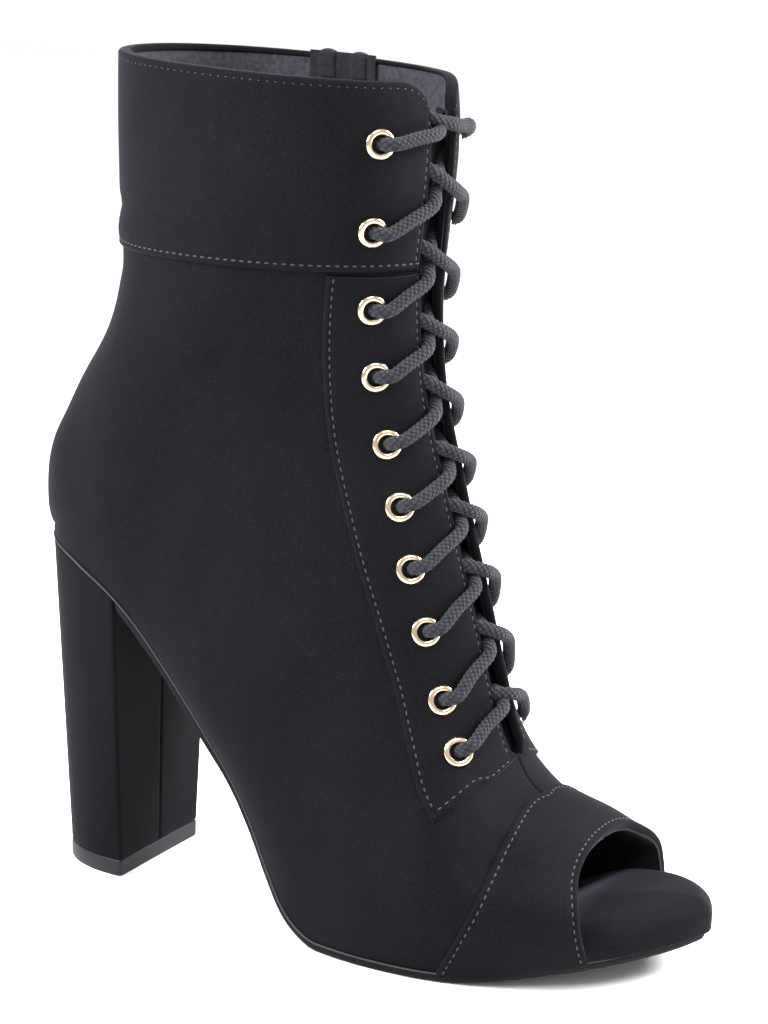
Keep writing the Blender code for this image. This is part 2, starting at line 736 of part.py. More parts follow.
def build_heel(finish):
    low = heel_ring(1.0)
    high = seat_ring()
    base = TOP_PIECE_THICKNESS + GAP
    levels = []
    for share in (0.0, 0.5, 1.0):
        ring = low + (high - low) * share
        top = level_at(ring[:, 0], SOLE_THICKNESS)
        z = base + (top - base) * share
        levels.append(np.column_stack([ring, z]))
    points = np.array(levels)
    rows, columns = points.shape[:2]
    faces = grid_faces(rows, columns, wrap=True)
    faces += [tuple(range(columns - 1, -1, -1))]
    made = mesh_object("heel_block", points.reshape(-1, 3), faces + seat_faces(rows, columns), finish)
    return made


def seat_faces(rows, columns):
    """The seat's top, in strips from the lateral to the medial side."""
    first = (rows - 1) * columns
    faces = []
    for k in range(columns // 2):
        a, b = first + k, first + k + 1
        c, d = first + columns - 2 - k, first + columns - 1 - k
        faces.append((a, b, c, d) if b != c else (a, b, d))
    return faces


def build_top_piece(finish):
    ring = heel_ring(1.0)
    points = [(x, y, 0.0) for x, y in ring] + [(x, y, TOP_PIECE_THICKNESS) for x, y in ring]
    count = len(ring)
    faces = grid_faces(2, count, wrap=True)
    faces += [tuple(range(count - 1, -1, -1)), tuple(range(count, 2 * count))]
    return mesh_object("top_piece", points, faces, finish)


def eyelet_mesh(finish):
    """A turned ring: a rolled flange over a barrel that passes through the hole."""
    hole = EYELET_HOLE / 2
    barrel = EYELET_BARREL / 2
    rim = EYELET_OUTER / 2
    seat = OVERLAY_GAP + OVERLAY_THICKNESS + GAP
    crest = seat + EYELET_FLANGE
    profile = ((0.0, hole, -WALL), (0.5, barrel, EYELET_TAPER - WALL), (0.0, barrel, seat),
               (0.5, rim, seat + EYELET_TAPER), (0.0, rim - EYELET_EDGE, crest), (0.5, hole, crest - EYELET_TAPER))
    segments = 7
    points = []
    for k in range(segments):
        for phase, radius, height in profile:
            turn = 2 * np.pi * (k + phase) / segments
            points.append((radius * np.cos(turn), radius * np.sin(turn), height))
    count = len(profile)
    faces = []
    for k in range(segments):
        after = (k + 1) % segments
        for j in range(count):
            m = (j + 1) % count
            corners = (k * count + j, after * count + j, after * count + m, k * count + m)
            if profile[m][0] > profile[j][0]:
                faces += [(corners[0], corners[1], corners[3]), (corners[1], corners[2], corners[3])]
            else:
                faces += [(corners[0], corners[1], corners[2]), (corners[0], corners[2], corners[3])]
    source = mesh_object("eyelet_source", points, faces, finish)
    mesh = source.data
    bpy.data.objects.remove(source, do_unlink=True)
    return mesh


def build_eyelets(frames, finish):
    mesh = eyelet_mesh(finish)
    for label, place, normal in frames:
        made = bpy.data.objects.new(f"eyelet_{label}", mesh.copy())
        made.data.transform(turned_to(place, normal))
        bpy.context.scene.collection.objects.link(made)


def tube(name, route, radius, start, finish, sides=6):
    """A closed round tube through a smooth route, its first corner turned by start."""
    route = spline(route, np.linspace(0, len(route) - 1, 5))
    points = []
    runs = np.gradient(route, axis=0)
    for place, run in zip(route, runs):
        run = Vector(run).normalized()
        across = run.cross(Vector((0.0, 0.0, 1.0))).normalized()
        upward = across.cross(run)
        for k in range(sides):
            turn = start + 2 * np.pi * k / sides
            points.append(Vector(place) + (across * np.cos(turn) + upward * np.sin(turn)) * radius)
    rows = len(route)
    faces = grid_faces(rows, sides, wrap=True)
    faces += [tuple(range(sides - 1, -1, -1)), tuple((rows - 1) * sides + k for k in range(sides))]
    return mesh_object(name, points, faces, finish)


def build_laces(finish):
    """Each pair's two runs, from the eyelets up over the facings to their meeting."""
    radius = LACE_DIAMETER / 2
    over = OVERLAY_GAP + OVERLAY_THICKNESS + GAP + radius
    for number, (station, distance) in enumerate(EYELET_ROWS, start=1):
        climb = 0.62 if number > 1 else 0.3
        edge = half_gap(station)
        halves = []
        for side, label in ((-1, "lateral"), (1, "medial")):
            start = distance - EYELET_OUTER / 2 - radius - GAP
            stops = (
                (station + climb * 0.1, start, over + 0.1 * MM),
                (station + climb * 0.45, (start + edge) / 2, over + 0.5 * MM),
                (station + climb * 0.75, edge * 0.85, over + 0.3 * MM),
                (station + climb * 0.9, edge * 0.38, over * 0.62),
                (station + climb, 0.0, over * 0.3),
            )
            route = [skin_at(min(s, TOP_STATION), side, d, lift) for s, d, lift in stops]
            route[-1] = route[-1] + np.array([0.0, (1.2 - 0.4 * side) * -side * MM, 0.0])
            halves.append(tube(f"lace_{number:02d}_{label}", route, radius, 0.5 + 0.2 * side, finish))
        first, second = halves
        first.name = f"lace_crossing_{number:02d}"
        join = first.modifiers.new("join", "BOOLEAN")
        join.operation = "UNION"
        join.solver = "MANIFOLD"
        join.object = second
        hide(second)


def build_zip(finish):
    half_chain = ZIP_CHAIN_WIDTH / 2
    half_tape = ZIP_TAPE_WIDTH / 2
    back = -(WALL + INNER_GAP)
    profile = ((-half_tape, back - ZIP_TAPE_THICKNESS), (0.0, back - ZIP_TAPE_THICKNESS),
               (half_tape, back - ZIP_TAPE_THICKNESS), (half_tape, back), (half_chain, back),
               (half_chain, -GAP), (-half_chain, -GAP), (-half_chain, back), (-half_tape, back))
    points = []
    stations = zip_stations()
    for station in stations:
        length = girth(station, 1)
        for offset, lift in profile:
            points.append(skin(station, ZIP_SHARE + offset / length, lift))
    rows, count = len(stations), len(profile)
    faces = grid_faces(rows, count, wrap=True)
    faces += [tuple(range(count - 1, -1, -1)), tuple((rows - 1) * count + k for k in range(count))]
    return mesh_object("zip_chain", points, faces, finish)


def box_solid(name, breaks, filled, finish):
    """A solid from the filled cells of a grid, given its break lines on each axis."""
    counts = [len(line) - 1 for line in breaks]
    solid = {cell for cell in np.ndindex(*counts) if filled(cell)}
    points = []
    faces = []
    for cell in solid:
        for axis in range(3):
            for turn in (0, 1):
                beside = list(cell)
                beside[axis] += 2 * turn - 1
                if tuple(beside) in solid:
                    continue
                first = len(points)
                for a, b in ((0, 0), (1, 0), (1, 1), (0, 1)):
                    corner = list(cell)
                    corner[axis] += turn
                    corner[(axis + 1) % 3] += a
                    corner[(axis + 2) % 3] += b
                    points.append([breaks[k][corner[k]] for k in range(3)])
                faces.append(tuple(first + k for k in range(4)))
    return mesh_object(name, points, faces, finish, smooth=False)


def slider_matrix():
    """Local X across the zip, Y up along it and Z outwards, near the collar."""
    top = skin(TOP_STATION, ZIP_SHARE)
    station = TOP_STATION - 0.9
    low = skin(station, ZIP_SHARE)
    share = SLIDER_DROP / np.linalg.norm(top - low)
    place, normal, across = zip_frame(TOP_STATION - 0.9 * share)
    z = Vector(normal).normalized()
    y = Vector(top - low)
    y = (y - z * y.dot(z)).normalized()
    x = y.cross(z)
    turn = Matrix((x, y, z)).transposed().to_4x4()
    return Matrix.Translation(Vector(place)) @ turn


def build_slider(finish):
    """Slider with its bridge, and the pull tab that hangs from it by a hinge."""
    seat = OVERLAY_GAP + OVERLAY_THICKNESS + GAP
    top = seat + SLIDER_PLATE
    stem = ZIP_CHAIN_WIDTH / 2 - GAP
    wing = SLIDER_WIDTH / 2
    half = SLIDER_LENGTH / 2
    neck = BRIDGE_WIDTH / 2
    room = PULL_THICKNESS * 2.1
    inner = (room + GAP) / 2
    outer = inner + BRIDGE_LEG
    breaks = ((-wing, -stem, -neck, neck, stem, wing), (-half, -outer, -inner, inner, outer, half),
              (GAP / 2, seat, top, top + room, top + room + BRIDGE_LEG))

    def in_slider(cell):
        across, along, level = cell
        return (across in (1, 2, 3), True, across == 2 and along in (1, 3),
                across == 2 and along in (1, 2, 3))[level]

    slider = box_solid("zip_slider", breaks, in_slider, finish)
    slider.matrix_world = slider_matrix()
    bar = PULL_THICKNESS / 2
    wide = PULL_WIDTH / 2
    gap = neck + GAP
    breaks = ((-wide, -gap, gap, wide), (bar - PULL_LENGTH, -outer - 3 * GAP, -bar, bar), (-bar, bar))
    pull = box_solid("zip_pull", breaks, lambda cell: cell[:2] != (1, 1), finish)
    pull.matrix_world = slider.matrix_world @ Matrix.Translation((0.0, 0.0, top + room / 2))


def main():
    clear_scene()
    suede = material("black_microsuede", (0.012, 0.013, 0.016), 0.92)
    trim = material("black_trim", (0.010, 0.010, 0.012), 0.85)
    sole_finish = material("black_sole", (0.02, 0.02, 0.02), 0.6)
    tread = material("top_piece_black", (0.03, 0.03, 0.032), 0.5)
    lace = material("black_lace", (0.02, 0.02, 0.023), 0.9)
    gold = material("pale_gold", (0.78, 0.62, 0.38), 0.25, 1.0)
    dark_metal = material("dark_metal", (0.05, 0.05, 0.055), 0.35, 1.0)

    build_outsole(sole_finish)
    build_insole(suede)
    build_heel(suede)
    build_top_piece(tread)

    throat = throat_cutter()
    slot = zip_cutter()
    frames = eyelet_frames()
    holes = eyelet_cutters(frames)
    build_upper(suede, [throat, slot, *holes])
    build_toe_cap(suede)
    cuff_gap = half_gap(TOP_STATION) / girth(TOP_STATION, -1)
    slot_share = (ZIP_CHAIN_WIDTH / 2 + GAP) / girth(TOP_STATION, 1)
    top_holes = holes[:4]
    build_cuff("cuff_medial", cuff_gap, ZIP_SHARE - slot_share, suede, top_holes)
    build_cuff("cuff_lateral", ZIP_SHARE + slot_share, 2.0 - cuff_gap, suede, top_holes)
    build_eyestay("eyestay_lateral", -1, suede, holes[4::2])
    build_eyestay("eyestay_medial", 1, suede, holes[5::2])
    build_tongue(trim)
    build_eyelets(frames, gold)
    build_laces(lace)
    build_zip(trim)
    build_slider(dark_metal)


main()
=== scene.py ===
import bmesh
import bpy
import numpy as np
from mathutils import Matrix, Vector


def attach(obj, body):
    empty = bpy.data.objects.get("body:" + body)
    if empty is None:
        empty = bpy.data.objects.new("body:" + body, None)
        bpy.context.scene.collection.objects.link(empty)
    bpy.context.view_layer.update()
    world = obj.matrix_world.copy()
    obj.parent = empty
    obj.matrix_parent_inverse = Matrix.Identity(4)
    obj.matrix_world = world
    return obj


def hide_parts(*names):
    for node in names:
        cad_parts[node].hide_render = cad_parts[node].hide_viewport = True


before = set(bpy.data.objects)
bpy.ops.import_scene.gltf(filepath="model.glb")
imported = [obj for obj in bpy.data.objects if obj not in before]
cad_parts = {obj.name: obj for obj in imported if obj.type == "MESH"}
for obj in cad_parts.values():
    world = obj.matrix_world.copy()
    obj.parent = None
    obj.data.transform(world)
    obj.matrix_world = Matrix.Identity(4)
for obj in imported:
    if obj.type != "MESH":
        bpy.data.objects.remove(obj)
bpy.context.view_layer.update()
mm = 0.001
print("frame loaded")

# The camera first. Angles are in degrees, the place is in metres.
camera = {"azimuth": 27.380, "elevation": 13.423, "roll": 1.938, "lens": 94.75,
          "place": (0.42333, -0.65168, 0.29195)}


def addObject(name, data):
    made = bpy.data.objects.new(name, data)
    bpy.context.scene.collection.objects.link(made)
    return made


def makeCamera():
    azimuth, elevation, roll = (np.radians(camera[key]) for key in ("azimuth", "elevation", "roll"))
    level = np.cos(elevation)
    back = Vector((np.sin(azimuth) * level, -np.cos(azimuth) * level, np.sin(elevation)))
    right = Vector((np.cos(azimuth), np.sin(azimuth), 0.0))
    upward = back.cross(right)
    across = right * np.cos(roll) + upward * np.sin(roll)
    rise = upward * np.cos(roll) - right * np.sin(roll)
    data = bpy.data.cameras.new("boot camera")
    data.lens = camera["lens"]
    data.sensor_width = 36.0
    data.clip_start = 0.01
    made = addObject("boot camera", data)
    turn = Matrix((across, rise, back)).transposed().to_4x4()
    made.matrix_world = Matrix.Translation(Vector(camera["place"])) @ turn
    bpy.context.scene.camera = made


makeCamera()
print("camera placed")

# The last: the same named sizes as the solids, in millimetres.
last = {"length": 207.5, "ball": 79.0, "seat": 56.0, "rise": 97.5, "spring": 9.2, "vamp": 55.5,
        "height": 241.5, "collarWidth": 74.2, "collarDepth": 96.6, "collarDip": 4.0, "lean": 22.0,
        "heelBack": -20.5, "inset": 0.9, "feather": 2.65, "lowerPower": 2.1, "breast": 13.5,
        "collarCorner": 9.0, "farCorner": 20.0, "throatGap": 11.0, "throatFlare": 4.0, "throatFoot": 4.0}
# along, lateral, medial, rise, spring
seatRows = (
    (0.000, 0.000, 0.000, 1.000, 0.0),
    (0.012, 0.188, 0.188, 0.997, 0.0),
    (0.043, 0.350, 0.350, 0.981, 0.0),
    (0.096, 0.454, 0.454, 0.940, 0.0),
    (0.164, 0.500, 0.491, 0.856, 0.0),
)
soleRows = (
    (0.227, 0.337, 0.317, 0.703, 0.0),
    (0.301, 0.322, 0.281, 0.497, 0.0),
    (0.347, 0.329, 0.261, 0.380, 0.0),
    (0.386, 0.360, 0.253, 0.272, 0.0),
    (0.424, 0.403, 0.256, 0.154, 0.0),
    (0.458, 0.448, 0.266, 0.070, 0.0),
    (0.492, 0.486, 0.286, 0.023, 0.0),
    (0.530, 0.517, 0.322, 0.000, 0.0),
    (0.583, 0.542, 0.375, 0.000, 0.0),
    (0.636, 0.549, 0.423, 0.000, 0.0),
    (0.684, 0.542, 0.451, 0.000, 0.0),
    (0.733, 0.519, 0.461, 0.000, 0.04),
    (0.781, 0.479, 0.454, 0.000, 0.175),
    (0.829, 0.423, 0.428, 0.000, 0.37),
    (0.877, 0.352, 0.387, 0.000, 0.565),
    (0.916, 0.276, 0.342, 0.000, 0.717),
    (0.954, 0.167, 0.266, 0.000, 0.86),
    (0.983, 0.051, 0.175, 0.000, 0.957),
    (1.000, -0.063, 0.063, 0.000, 1.0),
)
# base, crest, height, lateral, medial, widest, power, centre
toeRows = (
    (0.894, 0.868, 0.703, 0.361, 0.386, 0.36, 2.25, 0.013),
    (0.843, 0.831, 0.780, 0.437, 0.433, 0.34, 2.15, -0.008),
    (0.786, 0.790, 0.834, 0.488, 0.471, 0.32, 2.05, -0.015),
    (0.718, 0.759, 0.901, 0.532, 0.489, 0.28, 1.95, -0.020),
    (0.646, 0.740, 1.000, 0.539, 0.471, 0.25, 1.85, -0.028),
)
# base, reach, climb, lateral, medial, widest, power, centre
instepRows = (
    (0.578, 0.087, 0.033, 0.524, 0.435, 0.23, 1.80, -0.033),
    (0.506, 0.180, 0.074, 0.486, 0.395, 0.23, 1.80, -0.035),
    (0.448, 0.275, 0.129, 0.456, 0.375, 0.24, 1.85, -0.030),
    (0.386, 0.397, 0.206, 0.428, 0.370, 0.26, 1.90, -0.023),
    (0.313, 0.528, 0.283, 0.420, 0.375, 0.28, 1.95, -0.015),
    (0.227, 0.646, 0.354, 0.408, 0.377, 0.29, 2.00, -0.008),
    (0.140, 0.745, 0.415, 0.400, 0.382, 0.32, 2.05, 0.0),
    (0.068, 0.832, 0.470, 0.400, 0.387, 0.35, 2.10, 0.0),
)
# back reach, back climb, reach, climb, lateral, medial, widest, power
shaftRows = (
    (0.000, 0.000, 0.913, 0.530, 0.431, 0.421, 0.38, 2.15),
    (-0.134, 0.090, 0.971, 0.596, 0.439, 0.431, 0.41, 2.20),
    (-0.032, 0.196, 1.000, 0.662, 0.448, 0.442, 0.44, 2.20),
    (0.359, 0.323, 1.003, 0.728, 0.456, 0.453, 0.46, 2.20),
    (0.820, 0.450, 0.988, 0.788, 0.466, 0.464, 0.48, 2.20),
    (1.014, 0.566, 0.968, 0.843, 0.477, 0.474, 0.49, 2.20),
    (1.028, 0.707, 0.957, 0.893, 0.488, 0.485, 0.50, 2.20),
    (1.000, 0.862, 0.962, 0.948, 0.496, 0.493, 0.50, 2.20),
    (1.000, 1.000, 1.000, 1.000, 0.501, 0.499, 0.50, 2.20),
)
# station, distance from the crest
eyeletRows = np.array((
    (19.45, 23.6), (17.20, 23.6), (15.35, 21.4), (13.85, 20.4), (12.25, 19.6),
    (10.65, 20.0), (9.45, 21.2), (8.35, 21.6), (7.15, 22.0), (5.80, 22.2)))
seatStation = 12.0
backStation = 13.0
topStation = 21.0


# A smooth curve through a table's rows, each value a cubic of its four neighbours.
def smoothRows(rows, at):
    rows = np.asarray(rows, float)
    padded = np.vstack([2 * rows[0] - rows[1], rows, 2 * rows[-1] - rows[-2]])
    at = np.clip(np.atleast_1d(np.asarray(at, float)), 0.0, len(rows) - 1.0)
    first = np.minimum(at.astype(int), len(rows) - 2)
    t = (at - first)[:, None]
    a, b, c, d = (padded[first + k] for k in range(4))
    return 0.5 * (2 * b + (c - a) * t + (2 * a - 5 * b + 4 * c - d) * t**2 + (3 * b - a - 3 * c + d) * t**3)


# A smooth step from 0 to 1 between two values.
def smoothStep(values, low, high):
    t = np.clip((values - low) / (high - low), 0.0, 1.0)
    return t * t * (3 - 2 * t)


# Height of a quarter circle: 0 at t = 0 and 1 from t = 1 on.
def quarterRound(t):
    return np.sqrt(1 - (1 - np.clip(t, 0.0, 1.0)) ** 2)


# Vectors at length 1.
def unit(vectors):
    return vectors / (np.linalg.norm(vectors, axis=-1)[..., None] + 1e-12)


# The length run along a path, at each of its points.
def pathRun(path):
    return np.r_[0.0, np.cumsum(np.linalg.norm(np.diff(path, axis=0), axis=1))]


# A path's points at given lengths along it.
def readPath(at, run, path):
    return np.column_stack([np.interp(at, run, path[:, k]) for k in range(path.shape[1])])


# The sole's dense rows: x, lateral half width, medial half width, underside height.
def soleLines():
    rows = []
    for width, part in ((last["seat"], seatRows), (last["ball"], soleRows)):
        part = np.array(part)
        height = part[:, 3] * last["rise"] + part[:, 4] * last["spring"]
        rows.append(np.column_stack([last["heelBack"] + part[:, 0] * last["length"],
                                     part[:, 1] * width, part[:, 2] * width, height]))
    dense = smoothRows(np.vstack(rows), np.linspace(0.0, len(seatRows) + len(soleRows) - 1.0, 801))
    dense[:, 3] = np.maximum(dense[:, 3], 0.0)
    return dense


soleLine = soleLines()


# Unit normals of a plane curve, to its left.
def curveNormals(x, z):
    run = unit(np.stack([np.gradient(x), np.gradient(z)], axis=1))
    return np.stack([-run[:, 1], run[:, 0]], axis=1)


# Height of the sole's underside at x, once it has moved by lift along its normal.
def levelAt(x, lift):
    x = np.asarray(x, float)
    lift = np.broadcast_to(np.asarray(lift, float), x.shape)
    normals = curveNormals(soleLine[:, 0], soleLine[:, 3])
    lean = np.interp(x, soleLine[:, 0], normals[:, 0])
    rise = np.interp(x, soleLine[:, 0], normals[:, 1])
    foot = x - lean * lift
    return np.interp(foot, soleLine[:, 0], soleLine[:, 3]) + rise * lift


# Half width of the sole at x, on one side.
def edgeAt(x, side):
    return np.interp(x, soleLine[:, 0], soleLine[:, 1 if side < 0 else 2])


# Base, crest, half widths, widest share, power and centre of each numbered section.
def stationTable():
    collarBack = last["heelBack"] + last["lean"]
    collarFront = collarBack + last["collarDepth"]
    foot = last["heelBack"] + toeRows[-1][1] * last["length"]
    climbHeight = last["height"] - last["collarDip"] - last["vamp"]
    toe = np.array(toeRows)
    instep = np.array(instepRows)
    shaft = np.array(shaftRows)
    ball = last["ball"]
    toeX = last["heelBack"] + toe[:, 0] * last["length"]
    toePart = np.column_stack([toeX, levelAt(toeX, last["feather"]),
                               last["heelBack"] + toe[:, 1] * last["length"], toe[:, 2] * last["vamp"],
                               toe[:, 3] * ball, toe[:, 4] * ball, toe[:, 5], toe[:, 6], toe[:, 7] * ball])
    instepX = last["heelBack"] + instep[:, 0] * last["length"]
    instepPart = np.column_stack([instepX, levelAt(instepX, last["feather"]),
                                  foot + instep[:, 1] * (collarFront - foot),
                                  last["vamp"] + instep[:, 2] * climbHeight, instep[:, 3] * ball,
                                  instep[:, 4] * ball, instep[:, 5], instep[:, 6], instep[:, 7] * ball])
    seatX = last["heelBack"] + last["inset"]
    seatZ = float(levelAt(seatX, last["feather"]))
    width = last["collarWidth"]
    shaftPart = np.column_stack([seatX + shaft[:, 0] * (collarBack - seatX),
                                 seatZ + shaft[:, 1] * (last["height"] - seatZ),
                                 foot + shaft[:, 2] * (collarFront - foot),
                                 last["vamp"] + shaft[:, 3] * climbHeight, shaft[:, 4] * width,
                                 shaft[:, 5] * width, shaft[:, 6], shaft[:, 7], shaft[:, 4] * 0.0])
    return np.vstack([toePart, instepPart, shaftPart])


stations = stationTable()
tableRows = np.unique(np.round(np.concatenate([
    np.linspace(0.0, topStation, 337), np.linspace(12.5, 13.0, 26), [12.99, 12.996]]), 6))
columnStep = 0.6
columnCount = 300


# One side of every section: a superellipse above its widest point and a rounder one
# below it, down to the feather line, read off at even distances from the crest.
def sectionTable(side):
    values = smoothRows(stations, tableRows)
    bx, bz, tx, tz, lateral, medial, widest, power, centre = (values[:, k][:, None] for k in range(9))
    low = tableRows[:, None] < backStation
    bz = np.where(low, levelAt(bx[:, 0], last["feather"])[:, None], bz)
    reach = np.where(low, np.maximum(edgeAt(bx, side) - last["inset"] - side * centre, 0.0), 0.0)
    width = np.maximum(lateral if side < 0 else medial, reach)
    turn = np.linspace(np.pi / 2, 0.0, 70)[None, :]
    lower = 2.0 / last["lowerPower"]
    upper = 2.0 / power
    under = np.sqrt(reach**2 + (width**2 - reach**2) * np.sin(turn[:, 1:]) ** (2 * lower))
    across = np.concatenate([width * np.abs(np.cos(turn)) ** upper, under], axis=1)
    along = np.concatenate([widest + (1 - widest) * np.sin(turn) ** upper,
                            widest * (1 - np.cos(turn[:, 1:]) ** lower)], axis=1)
    points = np.stack([bx + (tx - bx) * along, centre + side * across, bz + (tz - bz) * along], axis=2)
    steps = np.linalg.norm(np.diff(points, axis=1), axis=2)
    run = np.concatenate([np.zeros((len(steps), 1)), np.cumsum(steps, axis=1)], axis=1)
    length = run[:, -1]
    spots = np.arange(columnCount) * columnStep
    table = np.empty((len(tableRows), columnCount, 3))
    for i in range(len(tableRows)):
        for k in range(3):
            table[i, :, k] = np.interp(spots, run[i], points[i, :, k])
    around = np.gradient(table, axis=1)
    around[:, 0] = (0.0, side, 0.0)
    along = np.gradient(table, tableRows, axis=0)
    normals = np.cross(around, along) * side
    final = np.clip((length / columnStep).astype(int) - 1, 1, columnCount - 1)
    for i in range(len(tableRows)):
        if tableRows[i] >= backStation:
            normals[i, final[i]:] = np.cross((0.0, -side, 0.0), along[i, final[i] - 1]) * side
        normals[i, final[i]:] = normals[i, final[i] - (0 if tableRows[i] >= backStation else 1)]
    past = np.where((tableRows > seatStation) & (tableRows < backStation), reach[:, 0], 0.0)
    spread = np.where(tableRows < backStation, reach[:, 0] * smoothStep(tableRows, 7.0, seatStation), 0.0)
    return {"points": table, "normals": unit(normals), "length": length, "girth": length + past,
            "spread": length + spread}


tables = {-1: sectionTable(-1), 1: sectionTable(1)}
print("last worked out")


# Reads a table between its rows and columns, in a straight line both ways.
def readTable(table, u, d):
    row = np.interp(u, tableRows, np.arange(len(tableRows)))
    r = np.clip(row.astype(int), 0, len(tableRows) - 2)
    fr = (row - r)[..., None]
    column = np.clip(d / columnStep, 0.0, columnCount - 1.001)
    c = column.astype(int)
    fc = (column - c)[..., None]
    return ((table[r, c] * (1 - fc) + table[r, c + 1] * fc) * (1 - fr)
            + (table[r + 1, c] * (1 - fc) + table[r + 1, c + 1] * fc) * fr)


def lengthOf(u, side, key="length"):
    return np.interp(u, tableRows, tables[side][key])


# Points and outward normals of the last at stations u and distances d from the crest.
# The collar's front corner is rounded down on a quarter circle.
def surface(u, d, side):
    u, d = np.broadcast_arrays(np.asarray(u, float), np.asarray(d, float))
    inner = (last["throatGap"] + last["throatFlare"]) / 2
    t = np.clip((d - inner) / (last["collarCorner"] if side < 0 else last["farCorner"]), 0.0, 1.0)
    dip = 0.85 * (1.0 - quarterRound(t))
    high = np.clip((u - (topStation - 2)) / 2, 0.0, 1.0)
    lower = u - high**2 * dip
    full = lengthOf(u, side)
    d = np.minimum(d, full) / full * lengthOf(lower, side)
    points = readTable(tables[side]["points"], lower, d)
    return points, unit(readTable(tables[side]["normals"], lower, d))


# The same for signed shares: -1 is the lateral back, 0 the crest and 1 the medial back,
# and from 1 to 2 they run on round the back of the lateral side.
def surfaceShare(u, turn):
    u, turn = np.broadcast_arrays(np.asarray(u, float), np.asarray(turn, float))
    signed = np.where(turn > 1.0, turn - 2.0, turn)
    points = np.empty(u.shape + (3,))
    normals = np.empty(u.shape + (3,))
    for side in (-1, 1):
        here = (signed < 0) == (side < 0)
        d = np.abs(signed[here]) * lengthOf(u[here], side, "girth")
        points[here], normals[here] = surface(u[here], d, side)
    return points, normals


# Half of the throat's width: round at its foot and wider at the collar.
def halfGap(u):
    climb = (np.asarray(u, float) - last["throatFoot"]) / (topStation - last["throatFoot"])
    roundFoot = np.sqrt(np.clip((u - last["throatFoot"]) / 0.5, 0.0, 1.0))
    wide = last["throatGap"] + last["throatFlare"] * np.maximum(climb, 0.0) - last["throatFlare"] / 2
    return wide / 2 * roundFoot


# Where the back of the ankle sinks, and where the top of the toe cap does: the heights and
# the lengths along x over which each goes in, and its depth.
sink = {"low": 104.0, "high": 142.0, "deep": -2.0, "x": 0.0, "wide": 16.0}
capSink = {"low": 22.0, "high": 36.0, "back": 122.0, "front": 142.0, "deep": -3.6}
# Soft troughs and ridges, given one by one. Each runs between two places given as
# station and signed share, with its width and depth in millimetres.
creases = {
    "trough in the cuff": ((18.95, 0.84), (18.85, 1.24), 2.6, -1.1),
    "bulge in the cuff": ((18.6, 0.84), (18.5, 1.24), 2.8, 0.6),
    "below the cuff": ((18.1, 0.86), (17.9, 1.22), 3.0, -0.5),
    "back of the ankle": ((15.6, -0.99), (14.9, -0.72), 7.0, -0.5),
    "front of the ankle": ((13.0, -0.34), (12.2, -0.62), 8.0, -0.35),
    "over the instep": ((8.2, -0.40), (7.4, -0.72), 9.0, -0.35),
    "over the ball": ((4.6, -0.42), (4.9, -0.80), 7.0, -0.3),
    "medial instep": ((8.4, 0.42), (7.6, 0.75), 9.0, -0.35),
    "medial ball": ((4.7, 0.42), (5.0, 0.80), 7.0, -0.3),
}


# How far the form stands out or in at each point. Each crease is a bell across its line and
# a half wave along it. The back of the ankle sinks by a smooth step of its height and a bell
# of x, and the top of the cap by smooth steps of its height and of x.
def creaseLift(points):
    x, z = points[..., 0], points[..., 2]
    lift = sink["deep"] * smoothStep(z, sink["low"], sink["high"])
    lift *= np.exp(-((x - sink["x"]) / sink["wide"]) ** 2)
    cap = smoothStep(z, capSink["low"], capSink["high"]) * smoothStep(x, capSink["back"], capSink["front"])
    lift += capSink["deep"] * cap
    steps = np.linspace(0.0, 1.0, 17)
    for start, end, wide, deep in creases.values():
        u = start[0] + (end[0] - start[0]) * steps
        turn = start[1] + (end[1] - start[1]) * steps
        line = surfaceShare(u, turn)[0]
        best = np.full(lift.shape, 1e9)
        share = np.zeros(lift.shape)
        for k in range(len(steps)):
            gap = np.linalg.norm(points - line[k], axis=-1)
            nearer = gap < best
            best = np.where(nearer, gap, best)
            share = np.where(nearer, steps[k], share)
        lift += deep * np.exp(-(best / wide) ** 2) * np.sin(np.pi * np.clip(share, 0.06, 0.94)) ** 0.7
    return lift


# Points of the last moved out by a lift, with the creases in it.
def lifted(points, normals, lift):
    return points + normals * (np.asarray(lift) + creaseLift(points))[..., None]


# A shader node with its settings, and the values of its inputs by name or number.
def addNode(tree, kind, place=(0, 0), inputs=None, **settings):
    node = tree.nodes.new(kind)
    node.location = place
    for key, value in settings.items():
        setattr(node, key, value)
    for key, value in (inputs or {}).items():
        node.inputs[key].default_value = value
    return node


def linkAll(tree, *pairs):
    for source, target in pairs:
        tree.links.new(source, target)


def newGroup(name, inputs, outputs):
    tree = bpy.data.node_groups.new(name, "ShaderNodeTree")
    for label, kind, value in inputs:
        made = tree.interface.new_socket(label, in_out="INPUT", socket_type=kind)
        if value is not None:
            made.default_value = value
    for label, kind in outputs:
        tree.interface.new_socket(label, in_out="OUTPUT", socket_type=kind)
    return tree, tree.nodes.new("NodeGroupInput"), tree.nodes.new("NodeGroupOutput")


